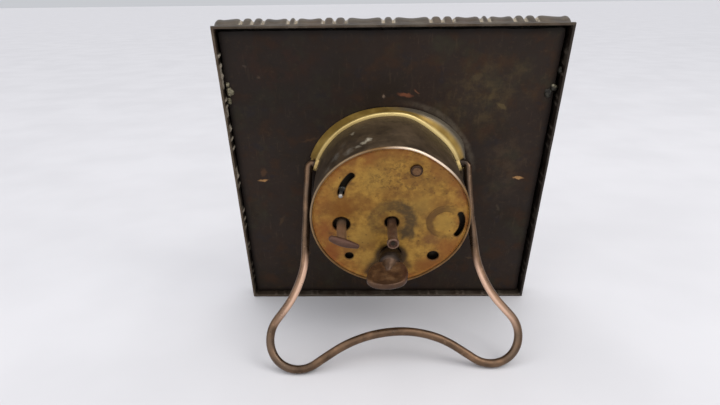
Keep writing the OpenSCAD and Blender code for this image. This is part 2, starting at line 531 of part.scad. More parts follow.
module regulator_lever() place() color([0.62, 0.60, 0.58]) at(ax_b) {
    z0 = back_plate_z + plate_t + 0.1;
    difference() {
        translate([0, 0, z0]) linear_extrude(0.6) {
            circle(r = 3.0);
            rotate(reg_a) translate([0, -0.8]) square([reg_r, 1.6]);
            rotate(reg_a) translate([reg_r, 0]) circle(r = 0.8);
        }
        rod(2.05, 15, 30);
    }
    rotate(reg_a) translate([reg_r, 0, 0]) { rod(0.6, z0, cover_z + 1.4); translate([0, 0, cover_z + 1.6]) sphere(r = 0.85, $fn = 24); }
}

plaque();
back_sheet();
solder_tacks();
drum_case();
retaining_strap();
stand_wire();
rear_cover();
cover_screw();
bezel();
crystal();
dial();
front_plate();
back_plate();
pillars();
pillar_nuts();
mainspring();
great_wheel();
click();
click_screw();
click_spring();
ratchet_wheel();
winding_arbor();
winding_key();
centre_wheel();
centre_arbor();
set_button();
minute_hand();
cannon_pinion();
minute_wheel();
minute_wheel_stud();
hour_wheel();
hour_hand();
set_arbor();
set_key();
third_arbor();
third_wheel();
fourth_arbor();
fourth_wheel();
escape_arbor();
escape_wheel();
pallet_lever();
pallet_arbor();
balance_wheel();
balance_staff();
hairspring();
hairspring_stud();
balance_screws();
regulator_lever();
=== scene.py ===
import math

import bpy
import numpy as np
from mathutils import Matrix, Vector


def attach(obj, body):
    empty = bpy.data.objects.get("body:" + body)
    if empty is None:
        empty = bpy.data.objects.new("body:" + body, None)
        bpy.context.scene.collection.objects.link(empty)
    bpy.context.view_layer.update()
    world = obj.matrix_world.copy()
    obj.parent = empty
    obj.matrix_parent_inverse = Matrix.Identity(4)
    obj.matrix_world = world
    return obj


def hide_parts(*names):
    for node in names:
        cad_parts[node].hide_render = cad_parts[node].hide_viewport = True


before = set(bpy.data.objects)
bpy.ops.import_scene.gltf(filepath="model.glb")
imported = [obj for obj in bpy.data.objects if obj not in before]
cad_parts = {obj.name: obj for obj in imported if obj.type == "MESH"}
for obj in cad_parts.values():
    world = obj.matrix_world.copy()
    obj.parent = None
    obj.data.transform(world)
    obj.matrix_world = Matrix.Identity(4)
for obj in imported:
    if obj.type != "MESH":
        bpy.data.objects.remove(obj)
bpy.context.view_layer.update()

# ---------------------------------------------------------------------------
# The plaque's own frame, in millimetres: x to the right seen from behind,
# y up the plaque, z out of its back. P() takes it to the row frame in metres.
# ---------------------------------------------------------------------------
LEAN = math.radians(13.2)
Y_SHIFT = -23.32
SL, CL = math.sin(LEAN), math.cos(LEAN)
DRUM = (0.0, 60.0)
AX = (0.0, 58.4)
AX_W = (0.0, 44.6)
AX_S = (-17.7, 57.7)
AX_B = (-6.4, 69.0)
DRUM_R, DRUM_IN, RIM_Z, COVER_Z = 28.6, 27.9, 26.2, 25.2
PIVOT_Y, PIVOT_Z = 68.8, 1.2


def P(v):
    v = np.atleast_2d(np.asarray(v, float))
    x, y, z = v[:, 0], v[:, 1], v[:, 2]
    return np.stack([-x, y * SL + z * CL + Y_SHIFT, y * CL - z * SL], 1) / 1000.0


def D(v):
    x, y, z = v
    return Vector((-x, y * SL + z * CL, y * CL - z * SL))


def smooth(t, a, b):
    t = np.clip((np.asarray(t, float) - a) / (b - a), 0, 1)
    return t * t * (3 - 2 * t)


def lattice(seed):
    return np.random.RandomState(seed).rand(64, 64) * 2 - 1


def noise2(x, y, scale, seed=1):
    """Smooth value noise, -1 to 1, with features of about `scale` mm."""
    g = lattice(seed)
    u, v = np.asarray(x, float) / scale + 1000.0, np.asarray(y, float) / scale + 1000.0
    i, j = np.floor(u).astype(int), np.floor(v).astype(int)
    fu, fv = u - i, v - j
    fu, fv = fu * fu * (3 - 2 * fu), fv * fv * (3 - 2 * fv)
    a, b = g[i % 64, j % 64], g[(i + 1) % 64, j % 64]
    c, d = g[i % 64, (j + 1) % 64], g[(i + 1) % 64, (j + 1) % 64]
    return (a * (1 - fu) + b * fu) * (1 - fv) + (c * (1 - fu) + d * fu) * fv


# ---------------------------------------------------------------------------
# Mesh helpers
# ---------------------------------------------------------------------------
PIECES = {}


def mesh_object(name, verts, faces, body, mat=None, replaces=(), sharp=32, attrs=None, row=False):
    me = bpy.data.meshes.new(name)
    co = np.asarray(verts, float) if row else P(verts)
    me.from_pydata([tuple(c) for c in co], [], [tuple(int(i) for i in f) for f in faces])
    me.update()
    me.shade_smooth()
    me.set_sharp_from_angle(angle=math.radians(sharp))
    for key, val in (attrs or {}).items():
        a = me.attributes.new(key, "FLOAT", "POINT")
        a.data.foreach_set("value", np.asarray(val, np.float32))
    ob = bpy.data.objects.new(name, me)
    bpy.context.scene.collection.objects.link(ob)
    if mat is not None:
        me.materials.append(mat)
    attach(ob, body)
    if replaces:
        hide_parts(*replaces)
    PIECES[name] = ob
    return ob


def outward(verts, faces):
    """Turns closed islands so that their faces look outward, by Blender's own rule."""
    import bmesh
    bm = bmesh.new()
    vs = [bm.verts.new(tuple(v)) for v in verts]
    for f in faces:
        try:
            bm.faces.new([vs[int(i)] for i in f])
        except ValueError:
            pass
    bmesh.ops.recalc_face_normals(bm, faces=bm.faces)
    out = [[v.index for v in f.verts] for f in (bm.verts.index_update() or bm.faces)]
    bm.free()
    return out


def rounded(pts, radii, closed=True, n=4):
    """The outline pts with each corner rounded to its radius."""
    pts = [np.array(p, float) for p in pts]
    m = len(pts)
    if not hasattr(radii, "__len__"):
        radii = [radii] * m
    out = []
    for i, p in enumerate(pts):
        r = radii[i]
        if r <= 0 or (not closed and i in (0, m - 1)):
            out.append(p)
            continue
        a, b = pts[i - 1], pts[(i + 1) % m]
        u, v = (a - p), (b - p)
        lu, lv = np.linalg.norm(u), np.linalg.norm(v)
        u, v = u / lu, v / lv
        cosang = float(np.clip(u @ v, -1, 1))
        ang = math.acos(cosang)
        if ang > math.pi - 0.02:
            out.append(p)
            continue
        t = min(r / math.tan(ang / 2), 0.45 * lu, 0.45 * lv)
        p0, p1 = p + u * t, p + v * t
        for k in range(n + 1):
            s = k / n
            out.append((1 - s) ** 2 * p0 + 2 * s * (1 - s) * p + s * s * p1)
    return [tuple(q) for q in out]


def lathe(profile, centre=(0, 0), seg=96, closed=True):
    """Turns the (r, z) outline round an axis along z. Points at r = 0 become poles."""
    verts, rows = [], []
    for r, z in profile:
        if r < 1e-6:
            rows.append([len(verts)] * seg)
            verts.append((centre[0], centre[1], z))
        else:
            row = []
            for k in range(seg):
                a = 2 * math.pi * k / seg
                row.append(len(verts))
                verts.append((centre[0] + r * math.cos(a), centre[1] + r * math.sin(a), z))
            rows.append(row)
    faces = []
    m = len(rows)
    for i in range(m if closed else m - 1):
        a, b = rows[i], rows[(i + 1) % m]
        for k in range(seg):
            q = [a[k], a[(k + 1) % seg], b[(k + 1) % seg], b[k]]
            q = [v for n_, v in enumerate(q) if v not in q[:n_]]
            if len(q) > 2:
                faces.append(q)
    return verts, faces


def joined(*parts):
    verts, faces = [], []
    for v, f in parts:
        o = len(verts)
        verts += [tuple(p) for p in v]
        faces += [[i + o for i in q] for q in f]
    return verts, faces


def sweep(path, radius, sides=20, round_ends=True, squash=1.0, up=(0, 0, 1)):
    """A closed tube along 3-D points; radius may be a number or one per point."""
    path = np.asarray(path, float)
    n = len(path)
    rad = np.full(n, float(radius)) if not hasattr(radius, "__len__") else np.asarray(radius, float)
    tan = np.gradient(path, axis=0)
    tan /= np.linalg.norm(tan, axis=1)[:, None]
    side = np.cross(tan[0], np.array(up, float))
    if np.linalg.norm(side) < 1e-3:
        side = np.cross(tan[0], np.array((0, 1.0, 0)))
    side /= np.linalg.norm(side)
    rings, verts = [], []
    ang = np.linspace(0, 2 * math.pi, sides, endpoint=False)

    def ring(c, t, s, r):
        b = np.cross(t, s)
        idx = []
        for a in ang:
            idx.append(len(verts))
            verts.append(tuple(c + r * (math.cos(a) * s + squash * math.sin(a) * b)))
        rings.append(idx)

    if round_ends:
        for q in (0.35, 0.75):
            ring(path[0] - tan[0] * rad[0] * 0.35 * (1 - q), tan[0], side, rad[0] * (0.45 + 0.5 * q))
    for i in range(n):
        side = side - tan[i] * (side @ tan[i])
        side /= np.linalg.norm(side)
        ring(path[i], tan[i], side, rad[i])
    if round_ends:
        for q in (0.75, 0.35):
            ring(path[-1] + tan[-1] * rad[-1] * 0.35 * (1 - q), tan[-1], side, rad[-1] * (0.45 + 0.5 * q))
    faces = []
    for a, b in zip(rings[:-1], rings[1:]):
        for k in range(sides):
            faces.append([a[k], a[(k + 1) % sides], b[(k + 1) % sides], b[k]])
    faces.append(list(reversed(rings[0])))
    faces.append(list(rings[-1]))
    return verts, faces


def conform(sdf, x0, x1, y0, y1, h):
    """A grid whose border is snapped onto sdf = 0 (positive inside). Returns points, distances and faces."""
    nx, ny = int(math.ceil((x1 - x0) / h)) + 1, int(math.ceil((y1 - y0) / h)) + 1
    X, Y = np.meshgrid(x0 + h * np.arange(nx), y0 + h * np.arange(ny), indexing="ij")
    S = sdf(X, Y)
    e = h * 0.02
    for _ in range(3):
        near = np.abs(S) < 0.56 * h if _ == 0 else near
        gx = (sdf(X + e, Y) - sdf(X - e, Y)) / (2 * e)
        gy = (sdf(X, Y + e) - sdf(X, Y - e)) / (2 * e)
        g2 = np.maximum(gx * gx + gy * gy, 0.25)
        X = np.where(near, X - S * gx / g2, X)
        Y = np.where(near, Y - S * gy / g2, Y)
        S = sdf(X, Y)
    ok = (S > -0.06 * h)
    deep = (S > 0.12 * h)
    idx = np.arange(nx * ny).reshape(nx, ny)
    c = [(slice(0, -1), slice(0, -1)), (slice(1, None), slice(0, -1)), (slice(1, None), slice(1, None)), (slice(0, -1), slice(1, None))]
    oks = np.stack([ok[s] for s in c], -1)
    dps = np.stack([deep[s] for s in c], -1)
    ids = np.stack([idx[s] for s in c], -1)
    cnt = oks.sum(-1)
    anyd = dps.any(-1)
    faces = [list(q) for q in ids[(cnt == 4) & anyd]]
    tri = (cnt == 3) & anyd
    for q, o in zip(ids[tri], oks[tri]):
        faces.append([int(v) for v, k in zip(q, o) if k])
    used = np.unique(np.concatenate([np.array(f) for f in faces]))
    remap = -np.ones(nx * ny, int)
    remap[used] = np.arange(len(used))
    pts = np.stack([X.ravel()[used], Y.ravel()[used]], 1)
    dist = np.maximum(S.ravel()[used], 0)
    return pts, dist, [[int(remap[i]) for i in f] for f in faces]


def plate(sdf, box, h, top, bottom):
    """A closed plate over the shape sdf > 0. top(x, y, d) and bottom(x, y, d) give its two surfaces."""
    pts, dist, faces = conform(sdf, *box, h)
    n = len(pts)
    zt, zb = top(pts[:, 0], pts[:, 1], dist), bottom(pts[:, 0], pts[:, 1], dist)
    verts = np.concatenate([np.column_stack([pts, zt]), np.column_stack([pts, zb])])
    edges = {}
    for f in faces:
        for a, b in zip(f, f[1:] + f[:1]):
            edges[(a, b)] = edges.get((a, b), 0) + 1
    out = [list(f) for f in faces] + [[i + n for i in reversed(f)] for f in faces]
    for (a, b) in edges:
        if (b, a) not in edges:
            out.append([b, a, a + n, b + n])
    return verts, out, np.concatenate([dist, dist])


def edge_round(d, r):
    """How far a rounded edge of radius r falls at distance d from the edge."""
    q = np.clip(1 - d / r, 0, 1)
    return r * (1 - np.sqrt(np.maximum(1 - q * q, 0)))


def circle(x, y, cx, cy, r):
    return r - np.hypot(x - cx, y - cy)


def box2(x, y, cx, cy, hx, hy, r=0.0):
    dx, dy = np.abs(x - cx) - (hx - r), np.abs(y - cy) - (hy - r)
    return -(np.hypot(np.maximum(dx, 0), np.maximum(dy, 0)) + np.minimum(np.maximum(dx, dy), 0) - r)


def segment(x, y, ax, ay, bx, by, ra, rb=None):
    """Distance inside a tapered bar between two points."""
    rb = ra if rb is None else rb
    vx, vy = bx - ax, by - ay
    t = np.clip(((x - ax) * vx + (y - ay) * vy) / (vx * vx + vy * vy), 0, 1)
    return ra + (rb - ra) * t - np.hypot(x - ax - vx * t, y - ay - vy * t)


def arc_bar(x, y, cx, cy, r, w, a0, a1):
    """Distance inside a curved slot with round ends (degrees)."""
    a = np.degrees(np.arctan2(y - cy, x - cx))
    mid = (a0 + a1) / 2
    a = mid + (a - mid + 180) % 360 - 180
    a = np.clip(a, a0, a1)
    ar = np.radians(a)
    return w / 2 - np.hypot(x - cx - r * np.cos(ar), y - cy - r * np.sin(ar))


# ---------------------------------------------------------------------------
# Materials: node networks in the plaque's own frame, in millimetres
# ---------------------------------------------------------------------------
def C(r, g, b):
    """An sRGB colour, 0 to 255, as linear RGBA."""
    f = lambda v: v / 12.92 if v <= 0.04045 else ((v + 0.055) / 1.055) ** 2.4
    return (f(r / 255), f(g / 255), f(b / 255), 1.0)


class Mat:
    def __init__(self, name, metallic=0.0, specular=0.5, ior=1.5):
        self.m = bpy.data.materials.new(name)
        self.m.use_nodes = True
        self.t = self.m.node_tree
        self.t.nodes.clear()
        self.out = self.t.nodes.new("ShaderNodeOutputMaterial")
        self.b = self.t.nodes.new("ShaderNodeBsdfPrincipled")
        self.t.links.new(self.b.outputs[0], self.out.inputs["Surface"])
        self.b.inputs["Metallic"].default_value = metallic
        self.b.inputs["IOR"].default_value = ior
        self.b.inputs["Specular IOR Level"].default_value = specular
        tc = self.t.nodes.new("ShaderNodeTexCoord")
        mp = self.t.nodes.new("ShaderNodeMapping")
        mp.vector_type = "POINT"
        mp.inputs["Scale"].default_value = (1000, 1000, 1000)
        rot = Matrix.Rotation(math.radians(-180), 3, "Z") @ Matrix.Rotation(math.radians(90) + LEAN, 3, "X")
        mp.inputs["Rotation"].default_value = (math.radians(90) + LEAN, 0, math.radians(-180))
        mp.inputs["Location"].default_value = -(rot @ Vector((0, Y_SHIFT, 0)))
        self.t.links.new(tc.outputs["Object"], mp.inputs["Vector"])
        self.p = mp.outputs["Vector"]

    def _in(self, node, key, v):
        if v is None:
            return
        s = node.inputs[key]
        if isinstance(v, bpy.types.NodeSocket):
            self.t.links.new(v, s)
        else:
            s.default_value = v

    def scaled(self, sx, sy, sz, vec=None):
        n = self.t.nodes.new("ShaderNodeVectorMath")
        n.operation = "MULTIPLY"
        self._in(n, 0, vec or self.p)
        n.inputs[1].default_value = (sx, sy, sz)
        return n.outputs[0]

    def noise(self, size, detail=4.0, rough=0.55, vec=None, distortion=0.0, offset=None):
        n = self.t.nodes.new("ShaderNodeTexNoise")
        v = vec or self.p
        if offset is not None:
            o = self.t.nodes.new("ShaderNodeVectorMath")
            o.operation = "ADD"
            self._in(o, 0, v)
            o.inputs[1].default_value = offset
            v = o.outputs[0]
        self._in(n, "Vector", v)
        n.inputs["Scale"].default_value = 1.0 / size
        n.inputs["Detail"].default_value = detail
        n.inputs["Roughness"].default_value = rough
        n.inputs["Distortion"].default_value = distortion
        return n.outputs["Fac"]

    def voronoi(self, size, vec=None, feature="F1", out="Distance"):
        n = self.t.nodes.new("ShaderNodeTexVoronoi")
        n.feature = feature
        self._in(n, "Vector", vec or self.p)
        n.inputs["Scale"].default_value = 1.0 / size
        return n.outputs[out]

    def math(self, op, a, b=None, clamp=False):
        n = self.t.nodes.new("ShaderNodeMath")
        n.operation = op
        n.use_clamp = clamp
        self._in(n, 0, a)
        if b is not None:
            self._in(n, 1, b)
        return n.outputs[0]

    def step(self, v, lo, hi, a=0.0, b=1.0):
        n = self.t.nodes.new("ShaderNodeMapRange")
        n.interpolation_type = "SMOOTHSTEP"
        self._in(n, "Value", v)
        n.inputs["From Min"].default_value = lo
        n.inputs["From Max"].default_value = hi
        n.inputs["To Min"].default_value = a
        n.inputs["To Max"].default_value = b
        return n.outputs[0]

    def mix(self, fac, a, b, blend="MIX"):
        n = self.t.nodes.new("ShaderNodeMix")
        n.data_type = "RGBA"
        n.blend_type = blend
        n.clamp_factor = True
        self._in(n, 0, fac)
        self._in(n, 6, a)
        self._in(n, 7, b)
        return n.outputs[2]

    def ramp(self, fac, stops, interp="LINEAR"):
        n = self.t.nodes.new("ShaderNodeValToRGB")
        n.color_ramp.interpolation = interp
        el = n.color_ramp.elements
        while len(el) < len(stops):
            el.new(0.5)
        for e, (pos, col) in zip(el, stops):
            e.position = pos
            e.color = col
        self._in(n, "Fac", fac)
        return n.outputs["Color"]

    def attr(self, name):
        n = self.t.nodes.new("ShaderNodeAttribute")
        n.attribute_name = name
        return n.outputs["Fac"]

    def axis(self, k, vec=None):
        n = self.t.nodes.new("ShaderNodeSeparateXYZ")
        self._in(n, 0, vec or self.p)
        return n.outputs[k]

    def warp(self, size, amount, vec=None, seed=0.0):
        """Coordinates pushed about by noise, so that a mask's border isn't a clean circle."""
        n = self.t.nodes.new("ShaderNodeTexNoise")
        o = self.t.nodes.new("ShaderNodeVectorMath")
        o.operation = "ADD"
        self._in(o, 0, vec or self.p)
        o.inputs[1].default_value = (seed, seed * 0.7, -seed)
        self._in(n, "Vector", o.outputs[0])
        n.inputs["Scale"].default_value = 1.0 / size
        n.inputs["Detail"].default_value = 3.0
        s = self.t.nodes.new("ShaderNodeVectorMath")
        s.operation = "SUBTRACT"
        self._in(s, 0, n.outputs["Color"])
        s.inputs[1].default_value = (0.5, 0.5, 0.5)
        k = self.t.nodes.new("ShaderNodeVectorMath")
        k.operation = "SCALE"
        self._in(k, 0, s.outputs[0])
        k.inputs["Scale"].default_value = amount
        a = self.t.nodes.new("ShaderNodeVectorMath")
        a.operation = "ADD"
        self._in(a, 0, vec or self.p)
        self._in(a, 1, k.outputs[0])
        return a.outputs[0]

    def dist(self, x, y, z=None, vec=None, sx=1.0, sy=1.0, turn=0.0):
        """Distance in mm from a point, in the plane of the plaque unless z is given; sx and sy stretch it."""
        v = vec or self.p
        n = self.t.nodes.new("ShaderNodeVectorMath")
        n.operation = "SUBTRACT"
        self._in(n, 0, v)
        n.inputs[1].default_value = (x, y, 0.0 if z is None else z)
        v = n.outputs[0]
        if turn:
            r = self.t.nodes.new("ShaderNodeVectorRotate")
            r.rotation_type = "Z_AXIS"
            self._in(r, "Vector", v)
            r.inputs["Angle"].default_value = math.radians(turn)
            v = r.outputs[0]
        v = self.scaled(1.0 / sx, 1.0 / sy, 0.0 if z is None else 1.0, v)
        n = self.t.nodes.new("ShaderNodeVectorMath")
        n.operation = "LENGTH"
        self._in(n, 0, v)
        return n.outputs["Value"]

    def add(self, a, b):
        return self.math("ADD", a, b)

    def mul(self, a, b):
        return self.math("MULTIPLY", a, b)

    def bump(self, height, strength=0.3, distance=0.0001):
        n = self.t.nodes.new("ShaderNodeBump")
        n.inputs["Strength"].default_value = strength
        n.inputs["Distance"].default_value = distance
        self._in(n, "Height", height)
        self.t.links.new(n.outputs[0], self.b.inputs["Normal"])

    def base(self, v):
        self._in(self.b, "Base Color", v)

    def rough(self, v):
        self._in(self.b, "Roughness", v)

    def metal(self, v):
        self._in(self.b, "Metallic", v)


def mat_sheet():
    m = Mat("mottled_black_sheet", metallic=0.0, specular=0.16)
    big, mid, fine = m.noise(26, 4, 0.55), m.noise(9, 5, 0.6, offset=(31, 7, 3)), m.noise(1.6, 4, 0.65)
    col = m.ramp(big, [(0.30, C(35, 25, 19)), (0.44, C(42, 31, 24)), (0.54, C(39, 30, 24)), (0.66, C(37, 28, 19))])
    col = m.mix(m.step(mid, 0.50, 0.68), col, C(50, 34, 23))
    col = m.mix(m.mul(m.step(m.noise(12, 5, 0.6, offset=(5, 60, 9)), 0.52, 0.70), 0.8), col, C(45, 40, 28))
    col = m.mix(m.mul(m.step(m.noise(7, 5, 0.6, offset=(90, 20, 9)), 0.56, 0.70), 0.75), col, C(35, 29, 29))
    # olive and lighter in a broken patch towards the upper right, redder in the upper left
    far = m.step(m.dist(33, 93, vec=m.warp(9, 16), sx=1.5, sy=1.0, turn=-40), 17, 4)
    col = m.mix(m.mul(far, m.step(m.noise(4.5, 6, 0.68, offset=(14, 3, 60)), 0.42, 0.66, 0.10, 0.62)), col, C(74, 60, 37))
    far = m.step(m.dist(44, 64, vec=m.warp(9, 14), sx=0.8, sy=1.5), 15, 3)
    col = m.mix(m.mul(far, m.step(m.noise(4.0, 5, 0.65, offset=(4, 33, 6)), 0.42, 0.64, 0.1, 0.6)), col, C(67, 52, 37))
    far = m.step(m.dist(-40, 106, vec=m.warp(9, 14), sx=1.8, sy=1.0), 12, 2)
    col = m.mix(m.mul(far, m.step(m.noise(5.0, 5, 0.65, offset=(40, 3, 6)), 0.42, 0.62, 0.0, 0.5)), col, C(61, 35, 23))
    # painted reflection of the strap: a pale grey halo on the sheet round the upper right of the drum
    ring = m.math("ABSOLUTE", m.add(m.dist(0, 60, vec=m.warp(5, 1.4, seed=7.0)), -32.3))
    side = m.step(m.dist(26, 84, vec=m.warp(8, 6, seed=3.0)), 28, 10, 0.0, 0.7)
    col = m.mix(m.mul(m.mul(m.step(ring, 1.7, 0.3), side), m.step(m.noise(2.6, 5, 0.7, offset=(2, 3, 64)), 0.34, 0.62, 0.35, 0.95)), col, C(90, 80, 67))
    col = m.mix(m.mul(m.step(fine, 0.55, 0.75), 0.30), col, C(74, 58, 40))
    # scratches and small pale marks left by handling
    for x, y, sx, sy, turn, k, c in (
        (-49.4, 59.4, 2.7, 0.7, -4, 0.85, C(165, 123, 77)), (50.2, 60.0, 2.8, 0.75, 6, 0.85, C(169, 128, 82)),
        (-49.0, 63.0, 1.6, 2.6, 12, 0.28, C(106, 73, 44)), (5.1, 94.6, 3.4, 1.0, 7, 0.66, C(125, 74, 50)),
        (9.0, 95.9, 1.6, 0.6, 40, 0.55, C(120, 78, 54)), (-2.4, 94.3, 0.7, 0.9, 0, 0.75, C(127, 108, 91)),
        (30, 101, 2.6, 1.8, -20, 0.30, C(90, 76, 49)), (36, 94, 1.3, 3.4, 24, 0.28, C(90, 74, 45)),
        (40, 90, 3.2, 1.0, 35, 0.45, C(98, 82, 50)), (-30, 77, 5.0, 0.9, -14, 0.35, C(84, 60, 39)),
        (-34, 22, 0.6, 2.6, 30, 0.40, C(94, 71, 45)), (35, 20, 2.4, 0.6, 12, 0.35, C(90, 69, 47)),
        (-51.0, 105.5, 0.9, 0.7, 0, 0.45, C(90, 78, 66)), (-46.5, 101.5, 1.0, 0.8, 0, 0.5, C(102, 82, 64)),
        (-44, 40, 1.0, 3.2, 22, 0.35, C(82, 61, 39)), (44, 46, 0.8, 2.4, -16, 0.35, C(82, 69, 52))):
        d = m.dist(x, y, vec=m.warp(1.4, 1.6, seed=x), sx=sx, sy=sy, turn=turn)
        col = m.mix(m.mul(m.step(d, 1.0, 0.35), k), col, c)
    streak = m.noise(1.0, 3, 0.6, vec=m.scaled(0.9, 0.10, 1.0))
    col = m.mix(m.mul(m.step(streak, 0.60, 0.74), 0.20), col, C(82, 65, 47))
    col = m.mix(m.mul(m.step(m.dist(-42, 110, vec=m.warp(12, 14, seed=12.0)), 52, 12), 0.42), col, C(22, 17, 14))
    # painted shade: darker where the sheet meets the walls of the tray and the drum
    col = m.mix(m.mul(m.step(m.attr("edge"), 2.6, 0.0), 0.75), col, C(18, 13, 11))
    m.base(col)
    m.rough(m.step(mid, 0.3, 0.75, 0.46, 0.70))
    m.bump(m.add(m.mul(mid, 0.7), m.mul(fine, 0.4)), 0.5, 0.00025)
    return m.m


def mat_solder():
    m = Mat("dull_solder", metallic=0.5)
    n = m.noise(0.7, 4, 0.6)
    col = m.ramp(n, [(0.3, C(78, 72, 58)), (0.5, C(112, 106, 86)), (0.68, C(168, 160, 134))])
    col = m.mix(m.step(m.noise(1.6, 3, 0.5, offset=(4, 4, 4)), 0.52, 0.66), col, C(66, 56, 42))
    # painted shade: the right-hand dab, on the shaded right side, is made black but for its upper edge
    right_dab_shade = m.mul(m.step(m.axis(0), 20, 30), m.step(m.dist(57.6, 98.4, vec=m.warp(1.0, 0.6)), 0.8, 1.7))
    col = m.mix(m.mul(right_dab_shade, 0.9), col, C(20, 18, 17))
    m.base(col)
    m.rough(m.step(n, 0.3, 0.7, 0.6, 0.38))
    m.bump(n, 0.5, 0.0002)
    return m.m


def mat_plaque():
    m = Mat("aged_plaque_brass", metallic=0.72, specular=0.35)
    big, mid, fine = m.noise(22, 4, 0.5), m.noise(4.5, 5, 0.6), m.noise(0.8, 4, 0.6)
    z = m.axis(2)
    front = m.step(z, -7.4, -9.2)
    # the outer wall is greyed all over; the front keeps a warmer brass
    grey = m.ramp(mid, [(0.30, C(70, 60, 48)), (0.50, C(90, 79, 66)), (0.66, C(108, 98, 85))])
    grey = m.mix(m.mul(m.step(z, -4.5, -7.0), 0.55), grey, C(112, 108, 102))
    warm = m.ramp(mid, [(0.28, C(124, 94, 54)), (0.50, C(160, 127, 76)), (0.70, C(188, 156, 100))])
    col = m.mix(front, grey, warm)
    col = m.mix(m.mul(m.step(big, 0.48, 0.64), 0.35), col, C(96, 74, 54))
    col = m.mix(m.mul(m.step(m.noise(3.2, 5, 0.6, offset=(9, 3, 40)), 0.56, 0.70), 0.40), col, C(106, 86, 78))
    # grime in the hollows, polish on the crests (from the relief itself)
    col = m.mix(m.mul(m.step(m.attr("hollow"), 0.25, 1.0), 0.78), col, C(44, 33, 24))
    shine = m.mul(m.mul(m.step(fine, 0.55, 0.72), m.step(m.attr("hollow"), 0.35, 0.0)), m.add(m.mul(front, 0.45), 0.08))
    col = m.mix(shine, col, C(206, 192, 160))
    # painted shade: the inner walls are nearly black, fully on the shaded right and top, least on the lit left; the
    # right lip is darkened too
    col = m.mix(m.mul(m.attr("inner"), 0.94), col, C(27, 20, 16))
    # painted highlight: pale streaks in the notches of the outer wall and on the bumps of the lit inner walls
    pale_highlight = m.mul(m.attr("pale"), m.step(m.noise(1.5, 4, 0.6, offset=(3, 70, 4)), 0.34, 0.52, 0.45, 1.0))
    col = m.mix(m.mul(pale_highlight, 0.92), col, C(204, 192, 172))
    m.base(col)
    m.metal(m.add(m.mul(m.attr("inner"), -0.5), 0.72))
    m.rough(m.step(mid, 0.3, 0.72, 0.36, 0.56))
    m.bump(m.add(m.mul(mid, 0.5), m.mul(fine, 0.5)), 0.30, 0.00016)
    return m.m


